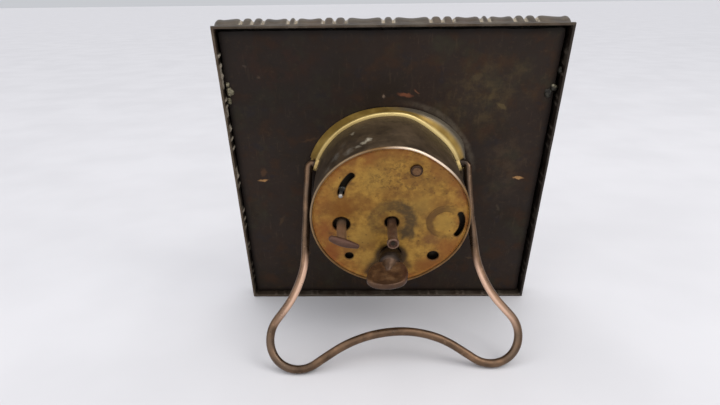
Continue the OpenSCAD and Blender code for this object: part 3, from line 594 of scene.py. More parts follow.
def mat_drum():
    m = Mat("bronzed_drum", metallic=0.45, specular=0.4)
    # brushed round the drum: stretch the noise along its length
    band = m.noise(1.0, 3, 0.6, vec=m.scaled(0.05, 0.05, 1.4))
    mid = m.noise(7, 5, 0.6)
    fine = m.noise(1.1, 4, 0.62)
    col = m.ramp(mid, [(0.30, C(56, 45, 34)), (0.50, C(74, 60, 44)), (0.68, C(88, 72, 54))])
    col = m.mix(m.mul(m.step(band, 0.48, 0.70), 0.35), col, C(98, 80, 58))
    col = m.mix(m.mul(m.step(m.noise(11, 4, 0.6, offset=(3, 44, 8)), 0.52, 0.66), 0.6), col, C(48, 38, 30))
    # darker down the left flank, towards the rim
    col = m.mix(m.mul(m.step(m.axis(0), -14, -25), 0.5), col, C(40, 34, 30))
    # greyish streaks that trail off to the lower left from the two scuffs; the two pale patches near the top at z 5.5
    # and 7.0 are a painted reflection of the strap
    for x, y, z, sx, sy, sz, k, c in ((-14.5, 84.4, 21.6, 3.6, 1.6, 3.0, 0.55, C(128, 122, 112)), (-19.0, 81.2, 19.0, 2.6, 2.2, 3.4, 0.55, C(116, 112, 104)),
                                      (-21.5, 78.6, 22.6, 1.7, 2.2, 1.8, 0.45, C(108, 102, 92)), (-16.5, 83.2, 14.0, 1.8, 1.5, 2.6, 0.30, C(104, 96, 84)),
                                      (2.0, 88.4, 5.5, 8.0, 1.5, 1.2, 0.40, C(112, 96, 74)), (13.0, 85.4, 7.0, 5.0, 2.2, 1.4, 0.38, C(118, 102, 78)),
                                      (-9.0, 87.0, 8.2, 2.0, 1.2, 1.0, 0.40, C(122, 112, 94))):
        n = m.t.nodes.new("ShaderNodeVectorMath")
        n.operation = "SUBTRACT"
        m._in(n, 0, m.warp(2.2, 3.2, seed=z))
        n.inputs[1].default_value = (x, y, z)
        l = m.t.nodes.new("ShaderNodeVectorMath")
        l.operation = "LENGTH"
        m._in(l, 0, m.scaled(1 / sx, 1 / sy, 1 / sz, n.outputs[0]))
        col = m.mix(m.mul(m.mul(m.step(l.outputs["Value"], 1.0, 0.3), k), m.step(m.noise(0.9, 4, 0.7, offset=(x, 2, z)), 0.40, 0.60, 0.3, 1.0)), col, c)
    for x, y, z, r, k, c in ((-13.6, 85.2, 9.0, 1.3, 0.70, C(160, 150, 130)), (-8.0, 87.4, 18.6, 1.5, 0.85, C(196, 186, 164)),
                             (-9.6, 86.9, 19.6, 1.4, 0.75, C(182, 172, 150)), (-11.4, 86.2, 20.8, 1.2, 0.6, C(160, 150, 132))):
        d = m.dist(x, y, z, vec=m.warp(1.8, 2.6, seed=x))
        col = m.mix(m.mul(m.step(d, r * 1.15, r * 0.1), k), col, c)
    # the rolled rim: brown at the left and below, with a painted highlight along the upper right
    z = m.axis(2)
    rim = m.step(z, 25.28, 25.42)
    rimcol = m.ramp(m.noise(3.4, 4, 0.6, offset=(7, 7, 7)), [(0.34, C(104, 74, 42)), (0.52, C(126, 94, 54)), (0.68, C(142, 108, 66))])
    rim_highlight = m.step(m.dist(12.5, 86.0, vec=m.warp(4, 2)), 18, 4)
    # a fainter painted highlight on the rim at the upper left
    left = m.mul(m.step(m.axis(0), -4, -14), m.step(m.axis(1), 44, 66))
    rimcol = m.mix(m.mul(left, 0.55), rimcol, C(146, 128, 104))
    rimcol = m.mix(m.mul(rim_highlight, 0.95), rimcol, C(254, 232, 208))
    low = m.step(m.axis(1), 52, 40)
    rimcol = m.mix(m.mul(low, 0.35), rimcol, C(104, 74, 40))
    col = m.mix(rim, col, rimcol)
    m.base(col)
    m.metal(m.add(m.mul(rim, 0.12), 0.45))
    m.rough(m.add(m.mul(rim, -0.08), m.step(mid, 0.3, 0.7, 0.40, 0.54)))
    m.bump(m.add(m.mul(band, 0.6), m.mul(fine, 0.4)), 0.3, 0.0001)
    return m.m


def mat_strap():
    m = Mat("strap_brass", metallic=0.55, specular=0.5)
    mid, fine = m.noise(5, 4, 0.55), m.noise(0.9, 4, 0.6)
    run = m.noise(1.0, 3, 0.6, vec=m.scaled(0.06, 0.06, 1.5))
    col = m.ramp(mid, [(0.30, C(132, 104, 46)), (0.5, C(154, 124, 58)), (0.68, C(172, 142, 74))])
    col = m.mix(m.mul(m.step(run, 0.5, 0.7), 0.4), col, C(132, 104, 48))
    col = m.mix(m.mul(m.step(m.noise(8, 4, 0.6, offset=(12, 2, 5)), 0.52, 0.66), 0.4), col, C(144, 114, 58))
    # painted highlight along the rear edge, strongest from the top round to the right
    z = m.axis(2)
    edge = m.step(z, 1.35, 2.15)
    edge_highlight_spread = m.step(m.dist(13, 88, vec=m.warp(6, 4)), 34, 10, 0.42, 1.0)
    col = m.mix(m.mul(edge, m.mul(edge_highlight_spread, 0.9)), col, C(246, 220, 150))
    low = m.step(m.axis(1), 76, 69)
    col = m.mix(m.mul(low, 0.35), col, C(120, 92, 54))
    # painted reflection: grey along the flared edge, from the top round to the right, running on into the grey halo on
    # the sheet
    far = m.mul(m.step(z, 0.9, -0.5), m.step(m.add(m.axis(0), m.mul(m.noise(4, 4, 0.6, offset=(6, 1, 3)), 9.0)), 0, 12))
    col = m.mix(m.mul(far, 0.85), col, C(108, 104, 96))
    m.base(col)
    m.rough(m.step(mid, 0.3, 0.7, 0.34, 0.48))
    m.bump(m.add(m.mul(run, 0.6), m.mul(fine, 0.3)), 0.25, 0.00008)
    return m.m


def mat_wire():
    m = Mat("copper_wire", metallic=0.7, specular=0.5)
    mid, fine = m.noise(6, 4, 0.6), m.noise(0.8, 4, 0.65)
    col = m.ramp(mid, [(0.28, C(68, 52, 38)), (0.46, C(90, 69, 51)), (0.6, C(108, 83, 62)), (0.74, C(128, 99, 75))])
    col = m.mix(m.mul(m.step(m.noise(14, 3, 0.6, offset=(8, 5, 1)), 0.5, 0.66), 0.55), col, C(98, 82, 68))
    col = m.mix(m.mul(m.step(fine, 0.56, 0.70), 0.35), col, C(72, 54, 42))
    # painted highlight: lighter and redder over a band of each leg lower down, brightest in a streak on the side facing
    # inwards and back
    low = m.mul(m.step(m.axis(2), 24, 30), m.step(m.axis(2), 44, 37))
    col = m.mix(m.mul(low, 0.12), col, C(190, 146, 120))
    col = m.mix(m.mul(m.mul(low, m.attr("leg_highlight")), 0.85), col, C(246, 204, 176))
    col = m.mix(m.mul(m.step(m.noise(2.4, 4, 0.6, offset=(2, 9, 30)), 0.60, 0.72), 0.4), col, C(164, 132, 106))
    # painted shade on the side of each leg towards the drum and on the wire's ends in the drum
    col = m.mix(m.mul(m.attr("drum_side_shade"), 0.85), col, C(36, 27, 20))
    m.base(col)
    m.rough(m.step(mid, 0.3, 0.7, 0.26, 0.40))
    m.bump(fine, 0.25, 0.00008)
    return m.m


def mat_cover():
    m = Mat("stained_cover_brass", metallic=0.45, specular=0.4)
    dx, dy = DRUM
    big, mid, fine = m.noise(9, 5, 0.6), m.noise(2.6, 6, 0.66, offset=(3, 8, 2)), m.noise(0.6, 4, 0.65)
    col = m.ramp(mid, [(0.30, C(110, 77, 29)), (0.43, C(141, 104, 42)), (0.54, C(163, 123, 52)), (0.70, C(180, 140, 64))])
    col = m.mix(m.mul(m.step(big, 0.48, 0.62), 0.65), col, C(123, 83, 34))
    # orange-brown stains: the edge, the left side, below the right ring, the foot
    w = m.warp(5.0, 8.0)
    edge = m.step(m.dist(dx, dy, vec=w), 21.0, 28.0)
    col = m.mix(m.mul(edge, m.step(m.noise(5.0, 5, 0.62, offset=(70, 3, 5)), 0.36, 0.62, 0.30, 0.85)), col, C(129, 72, 24))
    for x, y, r0, r1, k, c in ((-17.5, 64.5, 9.5, 1.5, 0.75, C(120, 72, 23)), (-22.0, 55.5, 7.0, 1.0, 0.6, C(125, 64, 23)),
                               (-20.5, 46.0, 7.0, 1.0, 0.7, C(122, 62, 23)), (-8.5, 65.5, 5.5, 0.5, 0.5, C(120, 76, 28)),
                               (19.5, 46.5, 6.5, 1.0, 0.65, C(131, 76, 30)), (14.5, 50.5, 5.0, 1.0, 0.6, C(110, 70, 39)),
                               (13.5, 38.0, 6.5, 1.0, 0.6, C(129, 76, 28)), (24.0, 71.0, 5.5, 0.5, 0.6, C(116, 66, 32)),
                               (17.5, 77.0, 5.0, 0.5, 0.5, C(122, 77, 34)), (10.5, 72.5, 5.5, 0.5, 0.4, C(120, 85, 37)),
                               (-1.5, 84.5, 6.0, 1.0, 0.45, C(116, 79, 32)), (21, 80, 5.0, 0.5, 0.55, C(114, 66, 30)),
                               (-9.0, 40.0, 6.0, 1.0, 0.35, C(131, 100, 44))):
        col = m.mix(m.mul(m.step(m.dist(x, y, vec=w), r0, r1), k), col, c)
    # cleaner olive patches
    for x, y, r0, r1, k in ((-9.5, 52.5, 6.0, 1.5, 0.55), (10.5, 66.0, 5.5, 1.0, 0.5), (18.2, 58.4, 3.9, 2.8, 0.6), (-6.0, 76.0, 7.5, 1.5, 0.5)):
        col = m.mix(m.mul(m.step(m.dist(x, y, vec=m.warp(3.0, 3.0, seed=x)), r0, r1), k), col, C(157, 123, 55))
    # scattered dark marks over the upper middle, like old wear
    marks = m.mul(m.step(m.noise(1.5, 5, 0.7, vec=m.warp(2.0, 2.0, seed=5.0)), 0.49, 0.60), m.step(m.dist(1.5, 76.5, vec=w, sx=1.5, sy=1.0), 10.5, 3.0))
    col = m.mix(m.mul(marks, 0.70), col, C(96, 66, 28))
    # the smudged ring round the middle: faint on its left, heavy and greyer on its right, trailing down
    v = m.warp(2.2, 2.0, seed=4.0)
    ring = m.math("ABSOLUTE", m.add(m.dist(0.2, 58.9, vec=v), -6.5))
    band = m.step(ring, 3.0, 1.2)
    rough_ = m.step(m.noise(1.7, 5, 0.68, offset=(44, 6, 2)), 0.32, 0.58, 0.62, 1.0)
    right = m.step(m.axis(0, v), -5.0, 4.5, 0.50, 0.93)
    low = m.step(m.axis(1, v), 52.0, 55.5, 0.0, 1.0)
    keep = m.math("MAXIMUM", low, m.step(m.axis(0, v), 1.5, 4.0))
    col = m.mix(m.mul(m.mul(band, rough_), m.mul(right, keep)), col, C(69, 53, 34))
    tail = m.step(m.dist(6.4, 53.6, vec=m.warp(1.8, 1.6, seed=8.0), sx=0.85, sy=1.35, turn=-24), 3.0, 1.3)
    col = m.mix(m.mul(m.mul(tail, rough_), 0.85), col, C(73, 56, 34))
    halo = m.step(m.dist(4.2, 61.0, vec=m.warp(3.0, 3.4, seed=9.0)), 10.5, 5.0)
    col = m.mix(m.mul(halo, 0.28), col, C(94, 74, 41))
    # the right ring: a broad dark band on its left and upper side
    v = m.warp(1.6, 1.2, seed=6.0)
    ring = m.math("ABSOLUTE", m.add(m.dist(18.7, 58.3, vec=v), -5.5))
    side = m.step(m.add(m.axis(0, v), m.mul(m.axis(1, v), -0.45)), -3.0, -11.5, 0.0, 1.0)
    side = m.math("MAXIMUM", side, m.step(m.axis(1, v), 54.5, 52.0, 0.0, 0.55))
    col = m.mix(m.mul(m.mul(m.step(ring, 1.8, 0.7), side), 0.78), col, C(90, 62, 28))
    # grime in the stamped grooves and along every edge
    col = m.mix(m.mul(m.step(m.attr("groove"), 0.15, 0.9), 0.5), col, C(90, 62, 28))
    col = m.mix(m.mul(m.step(m.attr("edge"), 0.50, 0.0), 0.7), col, C(59, 38, 18))
    # painted shadow of the winding key and of the setting key's bar (attribute shade)
    col = m.mix(m.mul(m.attr("shade"), 0.90), col, C(37, 23, 10))
    # small dark pits and a pale rub
    pits = m.step(m.voronoi(2.3, vec=m.warp(2.0, 1.6, seed=2.0)), 0.17, 0.06)
    pits = m.mul(pits, m.step(m.noise(7, 2, 0.5, offset=(60, 3, 9)), 0.44, 0.54))
    col = m.mix(m.mul(pits, 0.7), col, C(74, 45, 20))
    col = m.mix(m.mul(m.step(fine, 0.58, 0.74), 0.18), col, C(180, 144, 78))
    m.base(col)
    m.rough(m.add(m.mul(m.attr("groove"), 0.12), m.step(mid, 0.3, 0.7, 0.44, 0.60)))
    m.bump(m.add(m.mul(mid, 0.45), m.mul(fine, 0.45)), 0.35, 0.00012)
    return m.m


def mat_key():
    m = Mat("worn_key_brass", metallic=0.6, specular=0.5)
    mid, fine = m.noise(3.0, 5, 0.6), m.noise(0.5, 4, 0.65)
    col = m.ramp(mid, [(0.28, C(66, 45, 30)), (0.46, C(88, 62, 42)), (0.60, C(104, 76, 50)), (0.74, C(120, 90, 62))])
    col = m.mix(m.mul(m.step(m.noise(1.6, 4, 0.6, offset=(5, 5, 5)), 0.54, 0.68), 0.5), col, C(58, 40, 32))
    # a purple-brown tarnish on one corner of the wing, and a painted highlight where it meets the barrel
    tar = m.step(m.dist(6.5, 0, 0, vec=m.scaled(1, 0, 0, m.warp(3, 3))), 4.5, 1.5)
    col = m.mix(m.mul(tar, 0.45), col, C(80, 48, 42))
    pale_highlight = m.step(m.dist(-0.4, 46.4, 31.0, vec=m.warp(1.2, 1.2)), 3.2, 0.8)
    col = m.mix(m.mul(pale_highlight, 0.6), col, C(172, 138, 114))
    col = m.mix(m.mul(m.step(fine, 0.58, 0.72), 0.25), col, C(150, 118, 90))
    col = m.mix(m.mul(m.step(m.axis(2), COVER_Z + 15.2, COVER_Z + 17.4), 0.62), col, C(64, 44, 33))
    # the barrel is blackened steel-dark down to the cover
    hub = m.attr("barrel")
    col = m.mix(m.mul(hub, 0.93), col, C(30, 23, 18))
    m.base(col)
    m.rough(m.step(mid, 0.3, 0.7, 0.32, 0.50))
    m.bump(m.add(m.mul(mid, 0.5), m.mul(fine, 0.5)), 0.35, 0.00012)
    return m.m


def mat_pin():
    m = Mat("browned_button", metallic=0.65)
    mid, fine = m.noise(2.4, 4, 0.6), m.noise(0.5, 4, 0.65)
    col = m.ramp(mid, [(0.28, C(76, 56, 44)), (0.5, C(102, 78, 62)), (0.72, C(132, 104, 84))])
    col = m.mix(m.mul(m.step(m.noise(1.9, 4, 0.6, offset=(6, 6, 2)), 0.52, 0.66), 0.45), col, C(84, 52, 46))
    col = m.mix(m.mul(m.step(fine, 0.56, 0.7), 0.35), col, C(66, 46, 38))
    col = m.mix(m.mul(m.attr("face"), 0.85), col, C(76, 50, 40))
    col = m.mix(m.mul(m.attr("pale"), 0.50), col, C(158, 130, 102))
    m.base(col)
    m.rough(m.add(m.mul(m.attr("face"), 0.2), m.step(mid, 0.3, 0.7, 0.28, 0.46)))
    m.bump(fine, 0.3, 0.0001)
    return m.m


def mat_steel(name="steel", dark=0.0):
    m = Mat(name, metallic=0.9)
    mid, fine = m.noise(4.0, 4, 0.6), m.noise(0.5, 4, 0.65)
    k = 1.0 - dark
    col = m.ramp(mid, [(0.3, C(126 * k, 122 * k, 116 * k)), (0.5, C(158 * k, 154 * k, 148 * k)), (0.7, C(188 * k, 184 * k, 176 * k))])
    col = m.mix(m.mul(m.step(m.noise(2.0, 4, 0.6, offset=(8, 1, 2)), 0.56, 0.7), 0.4), col, C(112 * k, 88 * k, 66 * k))
    m.base(col)
    m.rough(m.step(mid, 0.3, 0.7, 0.26, 0.42))
    m.bump(fine, 0.25, 0.00006)
    return m.m


def mat_movement():
    m = Mat("clock_brass", metallic=0.85)
    mid, fine = m.noise(6.0, 4, 0.6), m.noise(0.7, 4, 0.65)
    grain = m.noise(1.0, 3, 0.6, vec=m.scaled(2.4, 0.12, 2.4))
    col = m.ramp(mid, [(0.3, C(150, 116, 62)), (0.5, C(180, 144, 84)), (0.7, C(200, 166, 106))])
    col = m.mix(m.mul(m.step(grain, 0.5, 0.7), 0.3), col, C(136, 104, 58))
    col = m.mix(m.mul(m.step(fine, 0.6, 0.75), 0.3), col, C(118, 84, 48))
    m.base(col)
    m.rough(m.step(mid, 0.3, 0.7, 0.30, 0.46))
    m.bump(grain, 0.2, 0.00006)
    return m.m


def mat_inner_plate():
    # painted shade: near black, for the plate, pillars and centre arbor behind the cover, so that the holes in the
    # cover look dark
    m = Mat("shade_dark_inner_plate", metallic=0.5, specular=0.3)
    mid, fine = m.noise(5.0, 4, 0.6), m.noise(0.6, 4, 0.65)
    col = m.ramp(mid, [(0.3, C(30, 24, 18)), (0.5, C(42, 34, 24)), (0.7, C(54, 44, 31))])
    m.base(m.mix(m.mul(m.step(fine, 0.58, 0.74), 0.3), col, C(70, 56, 38)))
    m.rough(m.step(mid, 0.3, 0.7, 0.42, 0.6))
    m.bump(fine, 0.2, 0.00006)
    return m.m


def mat_screw():
    m = Mat("worn_screw", metallic=0.5, specular=0.4)
    mid, fine = m.noise(1.2, 4, 0.6), m.noise(0.4, 4, 0.65)
    col = m.ramp(mid, [(0.3, C(82, 57, 35)), (0.5, C(102, 72, 45)), (0.7, C(120, 87, 56))])
    col = m.mix(m.mul(m.attr("rim"), 0.9), col, C(45, 26, 12))
    m.base(m.mix(m.mul(m.step(fine, 0.58, 0.74), 0.4), col, C(147, 111, 79)))
    m.rough(m.step(mid, 0.3, 0.7, 0.28, 0.44))
    m.bump(fine, 0.2, 0.00006)
    return m.m


def mat_spring():
    m = Mat("blued_spring", metallic=0.9)
    mid = m.noise(3.0, 4, 0.6)
    col = m.ramp(mid, [(0.3, C(52, 58, 78)), (0.5, C(74, 84, 112)), (0.72, C(96, 96, 112))])
    m.base(m.mix(m.mul(m.step(m.noise(0.8, 3, 0.6), 0.55, 0.7), 0.3), col, C(88, 70, 58)))
    m.rough(m.step(mid, 0.3, 0.7, 0.24, 0.4))
    m.bump(m.noise(0.4, 3, 0.6), 0.2, 0.00005)
    return m.m


def mat_bezel():
    m = Mat("bezel_brass", metallic=0.88)
    mid, fine = m.noise(6, 4, 0.55), m.noise(0.8, 4, 0.6)
    col = m.ramp(mid, [(0.3, C(150, 118, 66)), (0.5, C(184, 150, 88)), (0.7, C(208, 176, 112))])
    col = m.mix(m.mul(m.step(m.noise(11, 4, 0.6, offset=(4, 18, 3)), 0.5, 0.66), 0.4), col, C(132, 98, 62))
    col = m.mix(m.mul(m.step(m.attr("hollow"), 0.2, 1.0), 0.75), col, C(52, 38, 24))
    m.base(col)
    m.rough(m.step(mid, 0.3, 0.7, 0.24, 0.38))
    m.bump(fine, 0.2, 0.00006)
    return m.m


def mat_glass():
    m = Mat("clear_glass", metallic=0.0, ior=1.5)
    m.b.inputs["Transmission Weight"].default_value = 1.0
    n = m.noise(9, 3, 0.5)
    m.base(m.ramp(n, [(0.3, C(250, 252, 250)), (0.7, C(244, 249, 248))]))
    m.rough(m.step(m.noise(3.0, 5, 0.65, offset=(2, 2, 2)), 0.45, 0.8, 0.0, 0.06))
    return m.m


def mat_dial():
    m = Mat("cream_dial", metallic=0.0)
    mid, fine = m.noise(11, 5, 0.6), m.noise(0.9, 4, 0.65)
    col = m.ramp(mid, [(0.3, C(222, 212, 184)), (0.5, C(232, 224, 198)), (0.7, C(238, 231, 208))])
    rim = m.step(m.dist(AX[0], AX[1], vec=m.warp(5, 3)), 20, 27)
    col = m.mix(m.mul(rim, 0.35), col, C(196, 172, 126))
    col = m.mix(m.mul(m.step(m.noise(1.7, 4, 0.6, offset=(30, 3, 9)), 0.64, 0.72), 0.5), col, C(168, 140, 98))
    m.base(col)
    m.rough(m.step(fine, 0.3, 0.7, 0.34, 0.46))
    m.bump(fine, 0.15, 0.00004)
    return m.m


def mat_black():
    m = Mat("black_paint", metallic=0.0)
    n, f = m.noise(2.0, 4, 0.6), m.noise(0.35, 3, 0.6)
    m.base(m.ramp(n, [(0.3, C(18, 18, 20)), (0.6, C(28, 27, 28)), (0.75, C(44, 40, 36))]))
    m.rough(m.step(f, 0.3, 0.7, 0.30, 0.5))
    m.bump(f, 0.15, 0.00003)
    return m.m


MT = {"sheet": mat_sheet(), "solder": mat_solder(), "plaque": mat_plaque(), "drum": mat_drum(), "strap": mat_strap(),
      "wire": mat_wire(), "cover": mat_cover(), "key": mat_key(), "pin": mat_pin(), "steel": mat_steel(),
      "dark_steel": mat_steel("dark_steel", 0.55), "plate": mat_inner_plate(), "screw": mat_screw(), "brass": mat_movement(), "spring": mat_spring(), "bezel": mat_bezel(),
      "glass": mat_glass(), "dial": mat_dial(), "black": mat_black()}

# CAD nodes that keep their own mesh get their finish here; the near-black plate finish is painted shade for the parts
# behind the cover
KEEP = {"front_plate": "brass", "back_plate": "plate", "pillars": "plate", "pillar_nuts": "plate", "mainspring": "spring",
        "great_wheel": "brass", "click": "steel", "click_screw": "steel", "click_spring": "spring", "ratchet_wheel": "steel",
        "winding_arbor": "dark_steel", "centre_wheel": "brass", "centre_arbor": "plate", "cannon_pinion": "steel",
        "minute_wheel": "brass", "minute_wheel_stud": "steel", "hour_wheel": "brass", "set_arbor": "steel",
        "third_arbor": "steel", "third_wheel": "brass", "fourth_arbor": "steel", "fourth_wheel": "brass",
        "escape_arbor": "steel", "escape_wheel": "brass", "pallet_lever": "brass", "pallet_arbor": "steel",
        "balance_wheel": "brass", "balance_staff": "steel", "hairspring": "spring", "hairspring_stud": "steel",
        "balance_screws": "dark_steel", "regulator_lever": "steel"}
for node, key in KEEP.items():
    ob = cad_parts[node]
    ob.data.materials.clear()
    ob.data.materials.append(MT[key])
    ob.data.shade_smooth()
    ob.data.set_sharp_from_angle(angle=math.radians(30))

# ---------------------------------------------------------------------------
# Plaque: a pressed square tray whose border is cut into long lobes and beads
# ---------------------------------------------------------------------------
NOTCH = [v * 1.015 for v in (1.7, 14.0, 17.9, 21.6, 30.6, 33.2, 41.6, 45.2, 49.0)]   # half a side; a small bead lies in the middle
SIDE_S = np.arange(-250, 250) * 60 / 250
PROFILE = [(60.0, 0.0), (60.0, -0.45), (60.0, -0.9), (59.75, -1.15), (59.85, -1.6), (59.9, -2.2), (60.0, -2.9), (60.1, -3.6), (60.2, -4.4),
           (60.35, -5.3), (60.45, -6.1), (60.5, -6.8), (60.5, -7.5), (60.4, -8.1), (60.15, -8.6), (59.75, -8.95), (59.2, -9.2), (58.4, -9.36),
           (57.4, -9.36), (56.4, -9.15), (55.5, -8.8), (54.7, -8.35), (53.7, -7.8), (52.8, -7.25), (51.9, -6.75), (51.0, -6.35), (50.1, -6.0),
           (49.2, -5.8), (48.2, -5.8), (47.6, -5.4), (46.9, -5.2), (46.0, -5.12)]
INNER = [(46.0, -4.3), (48.3, -4.4), (50.5, -5.1), (52.3, -5.9), (54.1, -7.0), (55.8, -8.0), (57.4, -8.4), (58.7, -8.1), (59.25, -7.3),
         (59.3, -6.0), (59.25, -4.6), (59.2, -3.4), (59.15, -2.6), (59.12, -1.9), (59.12, -1.2), (59.12, -0.6), (59.15, -0.1), (59.25, 0.0), (59.7, 0.03)]


def lobe(along):
    """1 on a lobe, 0 in the notch between two lobes."""
    a = np.abs(along)
    v = np.ones_like(a)
    for n_ in NOTCH:
        v = np.minimum(v, smooth(np.abs(a - n_), 0.08, 1.12))
    return v


def swell(along):
    """The rise over each lobe; a long lobe sinks a little in its middle."""
    a = np.abs(along)
    edges = [-NOTCH[0]] + NOTCH + [66.0]
    v = np.zeros_like(a)
    for lo, hi in zip(edges[:-1], edges[1:]):
        t = (a - lo) / (hi - lo)
        inside = (t >= 0) & (t <= 1)
        tt = np.clip(t, 0, 1)
        rim = smooth(np.minimum(tt, 1 - tt) * (hi - lo), 2.2, 0.3)
        bulge = np.sin(np.pi * tt) ** 0.6 if hi - lo <= 7 else 1 - 0.62 * np.sin(np.pi * tt) ** 2 - 0.34 * rim
        v = np.where(inside, bulge, v)
    return v


def build_plaque():
    prof = np.array(PROFILE + INNER)
    no, npf = len(PROFILE), len(PROFILE) + len(INNER)
    d, z = prof[:, 0], prof[:, 1]
    out = np.arange(npf) < no
    weight = np.where(out, smooth(-z, 2.1, 3.4) * smooth(d, 50.2, 53.0), 0.0)
    nrm = np.gradient(prof, axis=0)
    nrm = np.stack([nrm[:, 1], -nrm[:, 0]], 1)
    nrm /= np.maximum(np.linalg.norm(nrm, axis=1), 1e-6)[:, None]
    nrm *= np.sign((d - 52.4) * nrm[:, 0] + (z + 4.5) * nrm[:, 1])[:, None]
    # radius of the plan view's corners: sharp on the lip, rounded on the wall behind it
    rc = np.where(out, np.where(z > -1.0, 0.02, 2.4 * smooth(d, 46, 56) + 0.2), np.where(z > -0.3, 0.25, 1.3 * smooth(d, 46, 58) + 0.2))
    wall_in = np.where(~out & (d > 58.5), smooth(-z, 0.35, 1.0), 0.0)
    vs, hs, ins, pls = [], [], [], []
    for side in range(4):
        ca, sa = round(math.cos(side * math.pi / 2)), round(math.sin(side * math.pi / 2))
        a = SIDE_S[:, None] * d[None, :] / 60
        over = np.abs(a) - (d - rc)[None, :]
        th = np.clip(over / rc[None, :], 0, 1) * math.pi / 4
        dd = np.where(over > 0, (d - rc)[None, :] + rc[None, :] * np.cos(th), d[None, :])
        al = np.where(over > 0, np.sign(a) * ((d - rc)[None, :] + rc[None, :] * np.sin(th)), a)
        key = al - 1.1 if side == 1 else al
        lb, sw = lobe(key), swell(key)
        cut = weight[None, :] * (0.58 * (1 - lb) + 0.80 * (1 - sw)) * smooth(60 - np.abs(al), 0.5, 3.0)
        s2 = np.broadcast_to(SIDE_S[:, None], a.shape)
        bump_in = wall_in[None, :] * (0.42 * (1 - lb) + 0.10 * np.abs(noise2(s2, side * 31.0 + 0 * s2, 3.1, 5)) + 0.05 * noise2(s2, side * 17.0 + 0 * s2, 1.1, 6))
        lipw = np.where(out & (z > -0.6), 1.0, 0.0)[None, :] * -0.05 * np.abs(noise2(s2, side * 11.0 + 0 * s2, 6.0, 7))
        lift = np.where(z > -0.2, 1.0, 0.0)[None, :] * (0.05 * noise2(s2, side * 23.0 + 0 * s2, 7.0, 8) - 0.05)
        dd = dd - nrm[None, :, 0] * cut - bump_in + lipw
        zz = z[None, :] - nrm[None, :, 1] * cut + lift
        x, y = dd * ca - al * sa, dd * sa + al * ca
        vs.append(np.stack([x, 60 + y, zz], -1).reshape(-1, 3))
        cove = np.where(out, np.exp(-((d - 49.6) / 1.3) ** 2) * 0.6, 0.0)
        # grime lies in the notches of the front slope only; the notches of the outer wall get a painted highlight
        # instead
        slope = np.where(out, smooth(58.6 - d, 0, 2.0) * smooth(-z, 5.0, 6.0), 0.0)
        hs.append((weight[None, :] * (1 - lb) * 0.9 * slope[None, :] + cove[None, :]).ravel())
        wall = np.where(out, smooth(-z, 2.3, 3.2) * smooth(d, 58.6, 59.6), 0.0)
        pale = wall[None, :] * smooth(1 - lb, 0.36, 0.74)
        # painted highlight on the bumps of the inner wall near the lip, strongest on the lit left side
        seen = {2: smooth(y, -38.0, -6.0) * 0.75 + 0.15, 0: 0.06, 1: 0.0, 3: 0.0}[side]
        near = np.where(~out & (d > 58.5), smooth(-z, 0.0, 0.5) * smooth(-z, 3.4, 2.0), 0.0)
        near = near[None, :] * smooth(np.maximum(1 - lb, 0.9 * smooth(noise2(s2, side * 5.0 + 0 * s2, 2.6, 9), 0.35, 0.7)), 0.3, 0.85)
        pls.append(np.maximum(pale, near * seen).ravel())
        # painted shade for the inner walls and lip: full on the shaded right and top, less below, least on the lit left
        dark_lip = {0: 0.85, 1: 0.25, 2: 0.0, 3: 0.35}[side]
        black = {0: 1.0, 1: 1.0, 2: 0.35 + 0.65 * smooth(-z, 0.7, 1.9), 3: 0.62}[side]
        ins.append(np.broadcast_to(np.where(~out & (d > 50) & (z < -0.05), black, np.where(z > -0.5, dark_lip, 0.0))[None, :], a.shape).ravel())
    verts = np.concatenate(vs)
    hollow, inner, pale = list(np.concatenate(hs)), list(np.concatenate(ins)), list(np.concatenate(pls))
    n = 4 * len(SIDE_S)
    idx = np.arange(n * npf).reshape(n, npf)
    nx, up = np.roll(idx, -1, 0), np.roll(idx, -1, 1)
    quads = np.stack([idx, nx, np.roll(nx, -1, 1), up], -1).reshape(-1, 4)
    faces = [list(map(int, q)) for q in quads]
    verts = [tuple(v) for v in verts]
    # the flat field, lightly hammered, with a drawn line inside its border and a bead ring round the bezel
    def sdf(x, y):
        return np.minimum(box2(x, y, 0, 0, 46.8, 46.8, 0.3), -circle(x, y, 0, 0, 28.75))

    def front(x, y, d):
        h = 0.055 * noise2(x, y, 2.3, 21) + 0.03 * noise2(x, y, 1.0, 22)
        m_ = np.maximum(np.abs(x), np.abs(y))
        line = np.exp(-((m_ - 44.2) / 0.28) ** 2) * 0.22 - np.exp(-((m_ - 43.3) / 0.3) ** 2) * 0.10
        r = np.hypot(x, y + 1.6)
        a = np.degrees(np.arctan2(y + 1.6, x))
        bead = np.exp(-((r - 35.0) / 0.42) ** 2) * np.clip(np.cos(np.radians(a * 72)), 0, 1) * 0.35
        # one plain leaf fan in each corner
        u, v = np.abs(x), np.abs(y)
        q = (u + v) / math.sqrt(2)
        w_ = np.abs(u - v) / math.sqrt(2)
        ang = np.arctan2(w_, np.maximum(q - 43.0, 0.01))
        rr = np.hypot(q - 43.0, w_)
        fan = (0.5 + 0.5 * np.cos(ang * 9.0)) * smooth(rr, 1.2, 3.0) * smooth(rr, 12.5, 10.5) * smooth(ang, 1.15, 0.95)
        return -(h + line + bead + 0.38 * fan) - 5.2

    def back(x, y, d):
        return np.full_like(x, -4.35)

